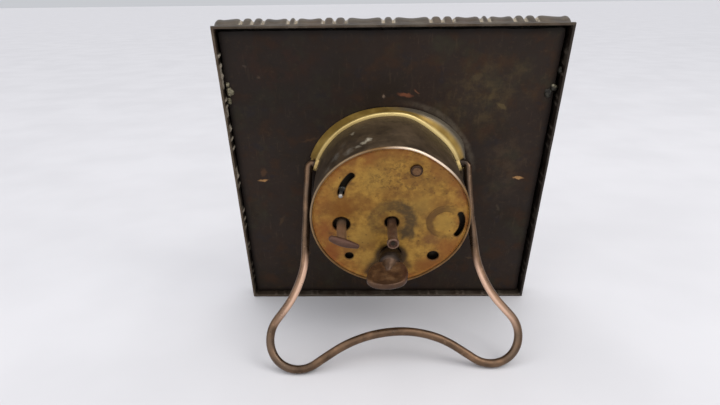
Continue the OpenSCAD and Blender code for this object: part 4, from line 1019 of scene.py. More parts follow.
    v2, f2, d2 = plate(sdf, (-47.5, 47.5, -47.5, 47.5), 0.5, back, front)
    v2[:, 1] += 60
    o = len(verts)
    verts += [tuple(v) for v in v2]
    faces += [[i + o for i in f] for f in f2]
    relief = -(v2[:, 2] + 5.2)
    hollow += list(np.clip(0.45 - relief * 3.0, 0, 0.7) * (v2[:, 2] < -4.8))
    inner += [0.0] * len(v2)
    pale += [0.0] * len(v2)
    faces = outward(verts, faces)
    return mesh_object("plaque_shell", verts, faces, "case", MT["plaque"], ("plaque",), sharp=50,
                       attrs={"hollow": hollow, "inner": inner, "pale": pale})


build_plaque()


# ---------------------------------------------------------------------------
# Back sheet and solder
# ---------------------------------------------------------------------------
def build_sheet():
    def sdf(x, y):
        wob = 0.18 * noise2(x, y, 7.0, 31) + 0.07 * noise2(x, y, 1.7, 32)
        return np.minimum(box2(x, y, -0.4, -0.6, 58.3, 58.3, 1.0) + np.minimum(wob, 0.1) - 0.12, -circle(x, y, 0, 0, 28.72))

    def shape(x, y):
        return 0.14 * noise2(x, y, 21, 33) + 0.06 * noise2(x, y, 8, 34) + 0.015 * noise2(x, y, 2.2, 35)

    top = lambda x, y, d: -2.42 + shape(x, y) - edge_round(d, 0.25)
    bot = lambda x, y, d: -2.90 + shape(x, y)
    v, f, d = plate(sdf, (-59.4, 58.8, -59.6, 58.4), 0.9, top, bot)
    v[:, 1] += 60
    mesh_object("back_sheet_skin", v, outward(v, f), "case", MT["sheet"], ("back_sheet",), sharp=55, attrs={"edge": d})


build_sheet()


def blob(cx, cy, z0, rx, ry, h, seed, nu=28, nv=12):
    """A frozen dab: a low dome with a lumpy outline, closed underneath."""
    verts, faces, rows = [], [], []
    for j in range(nv):
        t = j / (nv - 1)
        row = []
        for i in range(nu):
            a = 2 * math.pi * i / nu
            lump = 1 + 0.22 * float(noise2(math.cos(a) * 3 + seed, math.sin(a) * 3, 1.3, seed))
            r = math.cos(t * math.pi / 2) * lump
            z = h * math.sin(t * math.pi / 2) * (1 + 0.25 * float(noise2(r * math.cos(a) * 2, r * math.sin(a) * 2, 0.7, seed + 3)))
            row.append(len(verts))
            verts.append((cx + rx * r * math.cos(a), cy + ry * r * math.sin(a), z0 + z))
        rows.append(row)
    for a, b in zip(rows[:-1], rows[1:]):
        for i in range(nu):
            faces.append([a[i], a[(i + 1) % nu], b[(i + 1) % nu], b[i]])
    faces.append(list(reversed(rows[0])))
    faces.append(list(rows[-1]))
    return verts, faces


v, f = joined(blob(-57.2, 96.3, -2.6, 1.3, 1.7, 1.1, 3), blob(-58.0, 92.9, -2.6, 0.8, 1.3, 0.9, 8), blob(-57.8, 98.9, -2.6, 0.8, 1.0, 0.8, 5),
              blob(55.9, 95.0, -2.6, 1.6, 1.8, 1.0, 9), blob(57.4, 96.9, -2.6, 1.2, 1.4, 0.9, 14), blob(58.3, 103.4, -2.6, 0.7, 1.4, 1.4, 12))
mesh_object("solder_dabs", v, outward(v, f), "case", MT["solder"], ("solder_tacks",), sharp=60)


# ---------------------------------------------------------------------------
# Drum case with its rolled rim
# ---------------------------------------------------------------------------
def squeeze(x, y, z):
    """How far the drum, hand-worked and not quite round, is pressed in at its right side."""
    dx, dy = x - DRUM[0], y - DRUM[1]
    r = np.maximum(np.hypot(dx, dy), 1e-6)
    deep = 1.95 * smooth(z, -0.75, 2.2) * (1 - 0.42 * smooth(z, 2.0, 26.0))
    k = deep * smooth(dx / r, 0.12, 0.66)
    return k, dx / r, dy / r


def build_drum():
    prof = [(DRUM_IN, -5.1), (DRUM_R, -5.15)]
    for z in np.linspace(-4.0, 24.2, 20):
        prof.append((DRUM_R, z))
    prof += [(DRUM_R, 25.0)]
    # rolled bead
    for a in np.linspace(-15, 190, 13):
        prof.append((28.27 + 0.36 * math.cos(math.radians(a)), 25.80 + 0.36 * math.sin(math.radians(a))))
    prof += [(DRUM_IN, 25.62), (DRUM_IN, 25.3), (DRUM_IN, 25.21)]
    for z in np.linspace(24.2, -4.0, 20):
        prof.append((DRUM_IN, z))
    v, f = lathe(prof, DRUM, 256)
    v = np.array(v)
    # shallow dents in the thin wall
    a = np.degrees(np.arctan2(v[:, 1] - 60, v[:, 0]))
    r = np.hypot(v[:, 0], v[:, 1] - 60)
    dent = 0.10 * noise2(a / 4, v[:, 2], 6.0, 41) * smooth(v[:, 2], -2, 3) * smooth(v[:, 2], 25, 21)
    k = np.where(r > 28.0, (r + np.minimum(dent, 0.02)) / r, 1.0)
    v[:, 0] *= k
    v[:, 1] = 60 + (v[:, 1] - 60) * k
    k, cx_, cy_ = squeeze(v[:, 0], v[:, 1], v[:, 2])
    v[:, 0] -= k * cx_
    v[:, 1] -= k * cy_
    ob = mesh_object("drum_shell", v, outward(v, f), "case", MT["drum"], ("drum_case",), sharp=40)
    # holes for the two ends of the stand wire
    cutv, cutf = lathe([(0, -32), (1.56, -32), (1.56, -24), (0, -24)], (0, 0), 40)
    for s in (-1, 1):
        c = np.array([(s * p[2] * -1, p[0] + PIVOT_Y, p[1] + PIVOT_Z) for p in cutv])
        me = bpy.data.meshes.new("cut")
        me.from_pydata([tuple(q) for q in P(c)], [], outward(c, cutf))
        cut = bpy.data.objects.new("cut", me)
        bpy.context.scene.collection.objects.link(cut)
        mod = ob.modifiers.new("hole", "BOOLEAN")
        mod.object = cut
        mod.solver = "EXACT"
        bpy.context.view_layer.update()
        dg = bpy.context.evaluated_depsgraph_get()
        new = bpy.data.meshes.new_from_object(ob.evaluated_get(dg))
        ob.modifiers.clear()
        old = ob.data
        ob.data = new
        bpy.data.meshes.remove(old)
        bpy.data.objects.remove(cut)
    ob.data.name = "drum_shell"
    ob.data.shade_smooth()
    ob.data.set_sharp_from_angle(angle=math.radians(40))


build_drum()


# ---------------------------------------------------------------------------
# Strap round the drum: a band with a drilled ear at each end
# ---------------------------------------------------------------------------
def build_strap():
    R = 29.25
    a0 = math.asin((PIVOT_Y - 60) / R)                       # ear angle
    half_arc = (math.pi / 2 - a0) * R                        # from the top to an ear, on the arc

    def sdf(u, w):
        band = box2(u, w, 0, 0, half_arc, 2.4, 0.3)
        out = band
        for s in (-1, 1):
            out = np.maximum(out, circle(u, w, s * half_arc, PIVOT_Z, 2.7))
        for s in (-1, 1):
            out = np.minimum(out, -circle(u, w, s * half_arc, PIVOT_Z, 1.56))
        return out

    pts, dist, faces = conform(sdf, -half_arc - 3, half_arc + 3, -2.8, 4.4, 0.22)
    n = len(pts)
    ang = math.pi / 2 - pts[:, 0] / R
    deg = np.degrees(ang)
    # it flares outwards towards the plaque, least at the top and at its right end
    flare = 2.3 * np.clip((2.2 - pts[:, 1]) / 4.6, 0, 1) ** 1.15 * (0.12 + 0.88 * smooth(deg, 15, 33)) * (0.12 + 0.88 * np.abs(np.cos(ang)) ** 1.3)
    k = squeeze(np.cos(ang), 60 + np.sin(ang), pts[:, 1])[0]
    r_out = 29.85 - edge_round(dist, 0.34) + 0.02 * noise2(pts[:, 0], pts[:, 1], 3.0, 51) + flare - k
    r_in = 28.66 - k + 0 * ang
    v = np.concatenate([np.column_stack([r_out * np.cos(ang), 60 + r_out * np.sin(ang), pts[:, 1]]),
                        np.column_stack([r_in * np.cos(ang), 60 + r_in * np.sin(ang), pts[:, 1]])])
    edges = set()
    for f in faces:
        for a, b in zip(f, f[1:] + f[:1]):
            edges.add((a, b))
    out = [list(f) for f in faces] + [[i + n for i in reversed(f)] for f in faces]
    for a, b in edges:
        if (b, a) not in edges:
            out.append([b, a, a + n, b + n])
    mesh_object("strap_band", v, outward(v, out), "case", MT["strap"], ("retaining_strap",), sharp=45)


build_strap()


# ---------------------------------------------------------------------------
# Stand: one bent wire
# ---------------------------------------------------------------------------
def build_wire():
    reach, half, loop_x, loop_r, arch_t, wr = 75.0, 31.5, 34.2, 10.6, 62.5, 1.5
    bend_r, splay_r, splay_a, rise_a = 1.75, 32.0, 40.0, 33.0
    pivot_h = PIVOT_Y * CL - PIVOT_Z * SL
    opened = LEAN + math.acos((pivot_h - wr) / reach)
    foot = reach - loop_r
    rad = math.radians
    px, pt = loop_x + loop_r * math.cos(rad(splay_a)), foot - loop_r * math.sin(rad(splay_a))
    sl = (px - half - splay_r * (1 - math.cos(rad(splay_a)))) / math.sin(rad(splay_a))
    st = pt - sl * math.cos(rad(splay_a)) - splay_r * math.sin(rad(splay_a))
    rx, rt = loop_x - loop_r * math.sin(rad(rise_a)), foot + loop_r * math.cos(rad(rise_a))
    al = (rt - arch_t - rx * math.tan(rad(rise_a) / 2)) / (math.sin(rad(rise_a)) - math.cos(rad(rise_a)) * math.tan(rad(rise_a) / 2))
    ar = (rx - al * math.cos(rad(rise_a))) / math.sin(rad(rise_a))
    pts = [(26.4, 0.0), (27.4, 0.0), (28.4, 0.0), (half - bend_r - 0.2, 0.0)]
    for a in np.linspace(-90, 0, 12):
        pts.append((half - bend_r + bend_r * math.cos(rad(a)), bend_r + bend_r * math.sin(rad(a))))
    for t in np.linspace(bend_r, st, 24)[1:-1]:
        pts.append((half, t))
    for a in np.linspace(180, 180 - splay_a, 18):
        pts.append((half + splay_r + splay_r * math.cos(rad(a)), st + splay_r * math.sin(rad(a))))
    end = pts[-1]
    for q in np.linspace(0, 1, 6)[1:-1]:
        pts.append((end[0] + (px - end[0]) * q, end[1] + (pt - end[1]) * q))
    for a in np.linspace(-splay_a, 90 + rise_a, 44):
        pts.append((loop_x + loop_r * math.cos(rad(a)), foot + loop_r * math.sin(rad(a))))
    end = pts[-1]
    tgt = (ar * math.sin(rad(rise_a)), arch_t + ar * (1 - math.cos(rad(rise_a))))
    for q in np.linspace(0, 1, 6)[1:-1]:
        pts.append((end[0] + (tgt[0] - end[0]) * q, end[1] + (tgt[1] - end[1]) * q))
    for a in np.linspace(-90 + rise_a, -90, 20):
        pts.append((ar * math.cos(rad(a)), arch_t + ar + ar * math.sin(rad(a))))
    right = np.array(pts)
    left = right[::-1][1:] * np.array([-1, 1])
    path = np.concatenate([right, left])
    # even spacing of about 0.9 mm
    seg = np.linalg.norm(np.diff(path, axis=0), axis=1)
    cum = np.concatenate([[0], np.cumsum(seg)])
    n = 330
    q = np.linspace(0, cum[-1], n)
    path = np.column_stack([np.interp(q, cum, path[:, 0]), np.interp(q, cum, path[:, 1])])
    t = path[:, 1]
    # the hand-bent wire leans a little to one side and isn't quite flat
    free = smooth(t, 6, 30)
    x = path[:, 0] + STAND_SHEAR * free * (t / 75.0) + 0.22 * noise2(q, 0 * q, 14.0, 61) * free
    # the two legs are sprung a little towards the drum at the top
    x -= np.sign(path[:, 0]) * 0.5 * smooth(np.abs(path[:, 0]), 28.6, 31.0) * smooth(t, 34, 4)
    x -= 1.75 * (path[:, 0] > 0) * smooth(t, 46, 20)
    x += smooth(-path[:, 0], 28.6, 31.0) * (0.3 * smooth(t, 14, 2) - 0.5 * smooth(t, 18, 36) * smooth(t, 58, 44))
    x += 1.5 * np.exp(-(path[:, 0] / 14.0) ** 2) * smooth(t, 50, 60)
    twist = smooth(path[:, 0], -25, 30) * np.clip(t / 75.0, 0, 2) ** 1.2
    tt = t + 0.18 * noise2(q, 0 * q, 17.0, 62) * free - 1.8 * twist
    hgt = 0.25 * noise2(q, 0 * q, 23.0, 63) * free + 3.1 * twist
    o = opened
    y = PIVOT_Y - tt * math.cos(o) - hgt * math.sin(o)
    z = PIVOT_Z + tt * math.sin(o) - hgt * math.cos(o)
    radius = wr - 0.01 + 0.03 * noise2(q, 0 * q, 4.0, 64)
    v, f = sweep(np.column_stack([x, y, z]), radius, sides=24)
    v = np.array(v)
    # painted shade: how far each point of the surface faces the drum, for the first stretch of each leg, and the ends
    # that lie in the drum
    mid = np.column_stack([x, y, z])
    ring_of = np.clip(np.arange(len(v)) // 24 - 2, 0, len(mid) - 1)
    face_in = -np.sign(mid[ring_of, 0]) * (v[:, 0] - mid[ring_of, 0]) / wr
    drum_side_shade = smooth(face_in, -0.15, 0.55) * smooth(t[ring_of], 38, 16)
    drum_side_shade = np.maximum(drum_side_shade, smooth(np.abs(mid[ring_of, 0]), 29.4, 28.4) * smooth(t[ring_of], 8, 4))
    # painted highlight: a streak along the side of each leg that faces inwards and back
    side = (v - mid[ring_of]) / wr
    leg_highlight = smooth(-np.sign(mid[ring_of, 0]) * side[:, 0] * 0.72 + side[:, 2] * 0.60 + side[:, 1] * 0.34, 0.62, 0.92) * smooth(np.abs(mid[ring_of, 0]), 12, 20)
    low = P(v)[:, 2].min()
    mesh_object("stand_wire_bent", v, outward(v, f), "stand", MT["wire"], ("stand_wire",), sharp=60, attrs={"drum_side_shade": drum_side_shade, "leg_highlight": leg_highlight})
    return low


STAND_SHEAR = 1.1
LOW = build_wire()
print("stand low point", LOW)


# ---------------------------------------------------------------------------
# Rear cover: holes, slots, a shallow stamped ring and fine stamped arcs
# ---------------------------------------------------------------------------
SCREW = (DRUM[0] + 7.8, DRUM[1] + 19.6)


def arrow_ring(x, y, cx, cy, r, w, a0, a1, head=None):
    """A stamped arc with a barbed end; positive inside."""
    out = arc_bar(x, y, cx, cy, r, w, a0, a1)
    if head is not None:
        hx, hy = cx + r * math.cos(math.radians(head)), cy + r * math.sin(math.radians(head))
        d = -1 if head == a0 else 1
        tx, ty = -math.sin(math.radians(head)) * d, math.cos(math.radians(head)) * d
        for k, wid in ((0.0, 2.5), (1.2, 1.9), (2.4, 1.1), (3.4, 0.4)):
            out = np.maximum(out, circle(x, y, hx + tx * k, hy + ty * k, wid))
    return out


def cover_groove(x, y):
    """How deep the stamping is, 0 to 1: a shallow ring round the middle and fine arcs at the right."""
    g = np.zeros_like(x)
    ring = arrow_ring(x, y, AX[0], AX[1] + 0.5, 6.5, 2.6, -58, 208)
    fade = 0.12 + 0.16 * smooth(x, -4.0, 4.0)
    g = np.maximum(g, fade * smooth(ring, -0.7, 0.7))
    for r, w, a0, a1 in ((6.7, 0.55, 70, 250), (4.4, 0.45, 60, 150)):
        g = np.maximum(g, smooth(arc_bar(x, y, 18.9, 58.5, r, w, a0, a1), -0.15, 0.3))
    return g


def build_cover():
    holes = lambda x, y: np.maximum.reduce([
        circle(x, y, AX[0], AX[1], 2.53), circle(x, y, AX_S[0], AX_S[1], 3.06), circle(x, y, AX_W[0], AX_W[1], 3.5),
        circle(x, y, -15.3, 43.5, 1.57), circle(x, y, 15.3, 43.4, 2.1), circle(x, y, SCREW[0], SCREW[1], 1.1),
        arc_bar(x, y, AX_B[0], AX_B[1], 11.2, 2.2, 131, 172), arc_bar(x, y, 16.7, 57.9, 8.1, 1.9, -37, 28)])
    sdf = lambda x, y: np.minimum(circle(x, y, DRUM[0], DRUM[1], 27.84), -holes(x, y))

    def top(x, y, d):
        g = cover_groove(x, y)
        dish = 0.06 * noise2(x, y, 12, 71) + 0.02 * noise2(x, y, 3.0, 72)
        return COVER_Z - 0.0 - 0.16 * g + dish * smooth(d, 0, 2) - edge_round(d, 0.22) - 0.03

    def bottom(x, y, d):
        return np.full_like(x, COVER_Z - 0.6) - 0.10 * cover_groove(x, y)

    pts, dist, faces = conform(sdf, -28.2, 28.2, 31.8, 88.2, 0.24)
    n = len(pts)
    x, y = pts[:, 0], pts[:, 1]
    rr = np.hypot(x - DRUM[0], y - DRUM[1])
    up = 0.62 * smooth(rr, 26.7, 27.8) ** 1.6
    k, cx_, cy_ = squeeze(x, y, COVER_Z)
    k = k * smooth(rr, 25.4, 27.8)
    pts2 = np.column_stack([x - k * cx_, y - k * cy_])
    v = np.concatenate([np.column_stack([pts2, top(x, y, dist) + up]), np.column_stack([pts2, bottom(x, y, dist)])])
    edges = set()
    for f in faces:
        for a, b in zip(f, f[1:] + f[:1]):
            edges.add((a, b))
    out = [list(f) for f in faces] + [[i + n for i in reversed(f)] for f in faces]
    for a, b in edges:
        if (b, a) not in edges:
            out.append([b, a, a + n, b + n])
    hole = -holes(x, y)
    g = cover_groove(x, y)
    # painted shadow cast on the cover by the winding key, round its hub and beside its wing, and a faint one below the
    # setting key's bar
    shade = 1.0 * smooth(np.hypot(x / 1.0, (y - 43.4) / 0.95), 7.1, 4.9)
    shade = np.maximum(shade, 0.9 * smooth(segment(x, y, -3.5, 43.5, -8.2, 36.0, 1.6, 1.3), -1.4, 0.9))
    shade = np.maximum(shade, 0.6 * smooth(segment(x, y, 3.5, 42.5, 6.6, 38.5, 1.4, 1.0), -1.4, 0.9))
    shade = np.maximum(shade, 0.30 * smooth(segment(x, y, -22.0, 54.0, -14.5, 50.6, 0.7), -1.2, 0.8))
    attrs = {"groove": np.concatenate([g, g]), "edge": np.concatenate([np.minimum(hole, dist * 0.6 + 0.34)] * 2), "shade": np.concatenate([shade, shade])}
    mesh_object("rear_cover_stamped", v, outward(v, out), "case", MT["cover"], ("rear_cover",), sharp=40, attrs=attrs)


build_cover()

# cover screw: a low domed head with a worn slot
def build_screw():
    z = COVER_Z
    def sdf(x, y):
        return circle(x, y, 0, 0, 2.15)
    def top(x, y, d):
        r = np.hypot(x, y)
        dome = z + 1.38 - 0.45 * (r / 2.15) ** 2
        # worn to a soft-edged button with a shallow ring; hardly any slot is left
        ca, sa = math.cos(math.radians(75)), math.sin(math.radians(75))
        w = np.abs(-x * sa + y * ca)
        slot = 0.10 * smooth(w, 0.40, 0.15) * smooth(r, 1.5, 1.2)
        return dome - edge_round(d, 0.5) - slot - 0.16 * np.exp(-((r - 1.52) / 0.16) ** 2)
    v, f, d = plate(sdf, (-2.4, 2.4, -2.4, 2.4), 0.11, top, lambda x, y, d: np.full_like(x, z - 0.02))
    v[:, 0] += SCREW[0]
    v[:, 1] += SCREW[1]
    # the shank in its hole, under the head
    v2, f2 = lathe(rounded([(0.0, z - 2.8), (0.95, z - 2.8), (0.95, z + 0.1), (0.0, z + 0.1)], 0.05), SCREW, 32)
    v3, f3 = joined((v, f), (v2, f2))
    rr = [math.hypot(p[0] - SCREW[0], p[1] - SCREW[1]) for p in v3]
    mesh_object("cover_screw_head", v3, outward(v3, f3), "case", MT["screw"], ("cover_screw",), sharp=38,
                attrs={"rim": [float(smooth(r, 1.25, 1.6)) for r in rr]})


build_screw()


# ---------------------------------------------------------------------------
# Keys and the centre button
# ---------------------------------------------------------------------------
def build_button():
    z0, z1 = 22.0, COVER_Z + 12.5
    prof = [(0.82, z0), (1.6, z0), (1.65, z0 + 0.2), (1.65, z1 - 2.6), (1.72, z1 - 2.2), (1.95, z1 - 1.8), (2.05, z1 - 1.45),
            (2.06, z1 - 0.5), (2.0, z1 - 0.2), (1.85, z1 - 0.02), (1.6, z1), (1.45, z1 - 0.08), (1.30, z1 - 0.42), (1.2, z1 - 0.62),
            (0.9, z1 - 0.66), (0.0, z1 - 0.6)]
    inner = [(0.0, z1 - 1.0), (0.82, z1 - 1.0)]
    v, f = lathe(prof + inner, AX, 72)
    face = [float(smooth(1.55 - math.hypot(p[0] - AX[0], p[1] - AX[1]), 0.0, 0.15)) if p[2] > z1 - 0.9 else 0.0 for p in v]
    mesh_object("set_button_turned", v, outward(v, f), "minute", MT["pin"], ("set_button",), sharp=38, attrs={"face": face})


def build_set_key():
    zt = COVER_Z + 10.6
    stem = [(0.82, 22.0), (1.62, 22.0), (1.7, 22.2)]
    for z in np.linspace(23, zt - 1.0, 8):
        stem.append((1.7 + 0.03 * math.sin(z * 2.1), z))
    stem += [(1.62, zt - 0.2), (1.3, zt + 0.3), (0.0, zt + 0.3), (0.0, zt - 2.2), (0.82, zt - 2.2)]
    v, f = lathe(stem, AX_S, 56)
    # the stem leans a little, and the bar is thick in the middle with ends worn thin
    v = [(x + 0.5 * float(smooth(z, 24.5, zt)), y, z) for x, y, z in v]
    c = np.array([AX_S[0] + 1.45, AX_S[1], zt])
    d = np.array([math.cos(math.radians(-21)), math.sin(math.radians(-21)), 0])
    ts = np.linspace(-4.5, 4.5, 26)
    path = np.array([c + d * t + np.array([0, 0, -0.25 * (t / 4.5) ** 2]) for t in ts])
    rad = 1.52 - 0.66 * np.abs((ts + 0.8) / 5.3) ** 1.5
    # round ends
    def capped(path, rad):
        P_, R_ = list(path), list(rad)
        t0 = (path[0] - path[1]) / np.linalg.norm(path[0] - path[1])
        t1 = (path[-1] - path[-2]) / np.linalg.norm(path[-1] - path[-2])
        a, b, ra, rb = [], [], [], []
        for q in (15, 30, 45, 60, 75, 85):
            r = math.radians(q)
            a.append(path[0] + t0 * rad[0] * math.sin(r) * 0.95)
            ra.append(rad[0] * math.cos(r))
            b.append(path[-1] + t1 * rad[-1] * math.sin(r) * 0.95)
            rb.append(rad[-1] * math.cos(r))
        return np.array(a[::-1] + P_ + b), np.array(ra[::-1] + R_ + rb)
    path, rad = capped(path, rad)
    v2, f2 = sweep(path, rad, sides=28, round_ends=False)
    v3, f3 = joined((v, f), (v2, f2))
    bar = [0.0] * len(v) + [0.85] * len(v2)
    mesh_object("set_key_bar", v3, outward(v3, f3), "setting", MT["pin"], ("set_key",), sharp=40, attrs={"face": bar, "pale": [1.0] * len(v) + [0.0] * len(v2)})


def build_winding_key():
    z0 = 23.2
    # hub: a bored barrel with one turned collar
    prof = rounded([(1.9, z0), (2.75, z0), (2.85, z0 + 1.6), (2.9, COVER_Z + 0.6), (3.8, COVER_Z + 1.0), (4.15, COVER_Z + 4.2), (3.8, COVER_Z + 5.7),
                    (2.9, COVER_Z + 6.3), (2.55, COVER_Z + 7.4), (2.0, COVER_Z + 8.9), (1.2, COVER_Z + 10.6),
                    (0.0, COVER_Z + 11.0), (0.0, COVER_Z + 7.0), (1.9, COVER_Z + 5.4)],
                   [0, .15, .1, .15, .2, .3, .25, .2, .4, .5, .5, 0, 0, 0], n=3)
    v, f = lathe(prof, AX_W, 72)
    cz = COVER_Z

    def wing(x, z):
        """A fan: narrow at the barrel, widening to a broad rounded end."""
        s = 0.7
        a = (4.6 + (z - cz - 5.6) * 0.54 - np.abs(x)) / 1.13
        b = 7.05 - np.abs(x)
        c = 6.6 * (1 - np.sqrt((x / 8.4) ** 2 + ((z - cz - 11.6) / 6.6) ** 2 + 1e-6))
        c = np.where(z > cz + 11.6, c, 9.0)
        e = z - cz - 5.9
        return -s * np.log(np.exp(-a / s) + np.exp(-b / s) + np.exp(-c / s) + np.exp(-e / s)) + 0.25

    def half(x, z, d):
        rim = 0.22 * smooth(d, 1.5, 0.7)
        dish = 0.30 * smooth(np.hypot(x / 4.5, (z - cz - 8.0) / 3.2), 1.1, 0.4)
        return 0.95 + rim + dish - edge_round(d, 0.62) + 0.05 * noise2(x, z, 2.4, 81)

    v2, f2, d2 = plate(wing, (-8, 8, cz + 2, cz + 20), 0.24, half, lambda x, z, d: -half(x + 40, z, d))
    v2 = np.column_stack([v2[:, 0] + AX_W[0], AX_W[1] + v2[:, 2], v2[:, 1]])
    v3, f3 = joined((v, f), (v2, f2))
    # the key sits slack on its square and hangs to one side
    v3 = [(x - 0.135 * max(z - 25.0, 0.0), y, z) for x, y, z in v3]
    barrel = [1 - 0.5 * float(smooth(p[2], COVER_Z + 5.7, COVER_Z + 6.8)) for p in v] + [0.0] * len(v2)
    mesh_object("winding_key_wing", v3, outward(v3, f3), "winding", MT["key"], ("winding_key",), sharp=40, attrs={"barrel": barrel})


build_button()
build_set_key()
build_winding_key()


# ---------------------------------------------------------------------------
# Front: bezel, glass, dial and hands
# ---------------------------------------------------------------------------
def build_front():
    prof = rounded([(27.0, -5.35), (32.5, -5.35), (32.6, -5.75), (31.9, -6.3), (31.3, -6.5), (30.9, -7.5), (30.4, -8.4), (29.5, -9.1),
                    (28.2, -9.6), (27.0, -9.5), (26.15, -9.1), (26.15, -8.88), (27.6, -8.86), (27.6, -7.65), (27.0, -7.6)],
                   [0, .1, .2, .3, .2, .6, .8, .8, .8, .3, .05, .05, .05, .05, 0], n=5)
    v, f = lathe(prof, AX, 256)
    hollow = [0.0] * len(v)
    # rope of small beads lying in the step of the bezel
    beads_v, beads_f = [], []
    n = 132
    for k in range(n):
        a = 2 * math.pi * k / n
        cx, cy = AX[0] + 31.55 * math.cos(a), AX[1] + 31.55 * math.sin(a)
        base = len(beads_v)
        nu, nv = 8, 5
        rows = []
        for j in range(nv):
            t = math.pi / 2 * j / (nv - 1)
            row = []
            if j == nv - 1:
                beads_v.append((cx, cy, -6.35 - 0.5))
                rows.append([len(beads_v) - 1] * nu)
                continue
            for i in range(nu):
                b = 2 * math.pi * i / nu
                lx, ly = 0.5 * math.cos(t) * math.cos(b), 0.66 * math.cos(t) * math.sin(b)
                # twist each bead against the ring, as in a rope
                ca, sa = math.cos(a + 0.5), math.sin(a + 0.5)
                beads_v.append((cx + lx * ca - ly * sa, cy + lx * sa + ly * ca, -6.35 - 0.5 * math.sin(t)))
                row.append(len(beads_v) - 1)
            rows.append(row)
        for r0, r1 in zip(rows[:-1], rows[1:]):
            for i in range(nu):
                q = [r0[i], r0[(i + 1) % nu], r1[(i + 1) % nu], r1[i]]
                q = [w for m_, w in enumerate(q) if w not in q[:m_]]
                beads_f.append(q)
        beads_f.append(list(reversed(rows[0])))
    v3, f3 = joined((v, f), (beads_v, beads_f))
    hollow += [0.25 if abs(p[2] + 6.35) < 0.02 else 0.0 for p in beads_v]
    rr = [math.hypot(p[0] - AX[0], p[1] - AX[1]) for p in v]
    hollow = [max(h, 0.9 if (i < len(v) and 30.9 < rr[i] < 31.9 and v[i][2] < -6.0) else 0.0) for i, h in enumerate(hollow)]
    mesh_object("bezel_turned", v3, outward(v3, f3), "case", MT["bezel"], ("bezel",), sharp=42, attrs={"hollow": hollow})
    # glass
    def dome(r, z):
        return z - 1.8 * (1 - (r / 26.0) ** 2)
    prof = [(27.5, -8.8)] + [(r, dome(r, -8.8)) for r in np.linspace(26, 0, 24)] + [(r, dome(r, -7.7)) for r in np.linspace(0, 26, 24)] + [(27.5, -7.7)]
    prof[24] = (0.0, prof[24][1])
    v, f = lathe(prof, AX, 160)
    mesh_object("crystal_dome", v, outward(v, f), "case", MT["glass"], ("crystal",), sharp=50)
    # dial
    sdf = lambda x, y: np.minimum(circle(x, y, 0, 0, 26.8), -circle(x, y, 0, 0, 2.3))
    v, f, d = plate(sdf, (-27, 27, -27, 27), 0.7, lambda x, y, d: np.full_like(x, -5.42), lambda x, y, d: -5.9 - 0.10 * smooth(np.hypot(x, y), 17.0, 18.0) * 0 + 0.02 * noise2(x, y, 9, 91) + edge_round(d, 0.12) + 0.02)
    v[:, 0] += AX[0]
    v[:, 1] += AX[1]
    feet = []
    for p in ((0, 78.4), (20, 52.4)):
        feet.append(lathe([(0, -5.45), (0.7, -5.45), (0.7, -0.9), (0, -0.9)], p, 20))
    v3, f3 = joined((v, f), *feet)
    mesh_object("dial_plate", v3, outward(v3, f3), "case", MT["dial"], ("dial",), sharp=40)
    # minute track and numerals: thin raised print
    zb, zt = -5.875, -5.96
    pv, pf = [], []

    def quad(corners):
        o = len(pv)
        for z in (zb, zt):
            for (x, y) in corners:
                pv.append((AX[0] + x, AX[1] + y, z))
        m_ = len(corners)
        pf.append([o + i for i in range(m_)])
        pf.append([o + m_ + i for i in reversed(range(m_))])
        for i in range(m_):
            j = (i + 1) % m_
            pf.append([o + i, o + m_ + i, o + m_ + j, o + j])

    for r0, r1 in ((25.35, 25.5), (23.75, 23.9)):
        seg = 180
        for k in range(seg):
            a, b = 2 * math.pi * k / seg, 2 * math.pi * (k + 1) / seg
            quad([(r0 * math.cos(a), r0 * math.sin(a)), (r1 * math.cos(a), r1 * math.sin(a)), (r1 * math.cos(b), r1 * math.sin(b)), (r0 * math.cos(b), r0 * math.sin(b))])
    for k in range(60):
        a = math.radians(90 + 6 * k)
        w = 0.30 if k % 5 == 0 else 0.10
        r0, r1 = 23.8, 25.45
        t = np.array([-math.sin(a), math.cos(a)])
        c = np.array([math.cos(a), math.sin(a)])
        quad([tuple(c * r0 - t * w), tuple(c * r1 - t * w), tuple(c * r1 + t * w), tuple(c * r0 + t * w)])
    mesh_object("dial_track", pv, outward(pv, pf), "case", MT["black"], (), sharp=30)
    for n_ in range(1, 13):
        a = math.radians(30 * n_)
        cur = bpy.data.curves.new("numeral_%02d" % n_, "FONT")
        cur.body = str(n_)
        cur.align_x = "CENTER"
        cur.align_y = "CENTER"
        cur.size = 6.4
        cur.extrude = 0.04
        cur.resolution_u = 3
        tmp = bpy.data.objects.new("tmp_text", cur)
        bpy.context.scene.collection.objects.link(tmp)
        bpy.context.view_layer.update()
        me = bpy.data.meshes.new_from_object(tmp.evaluated_get(bpy.context.evaluated_depsgraph_get()))
        bpy.data.objects.remove(tmp)
        co = np.array([p.co[:] for p in me.vertices])
        lo, hi = co.min(0), co.max(0)
        co[:, :2] -= (lo[:2] + hi[:2]) / 2
        co[:, 0] *= 0.86
        fs = [list(p.vertices) for p in me.polygons]
        # seen from the front, right is -x
        vv = np.column_stack([AX[0] - (co[:, 0] + 20.0 * math.sin(a)), AX[1] + co[:, 1] + 20.0 * math.cos(a), -5.92 - co[:, 2]])
        bpy.data.meshes.remove(me)
        mesh_object("numeral_%02d" % n_, vv, outward(vv, fs), "case", MT["black"], (), sharp=30)


build_front()


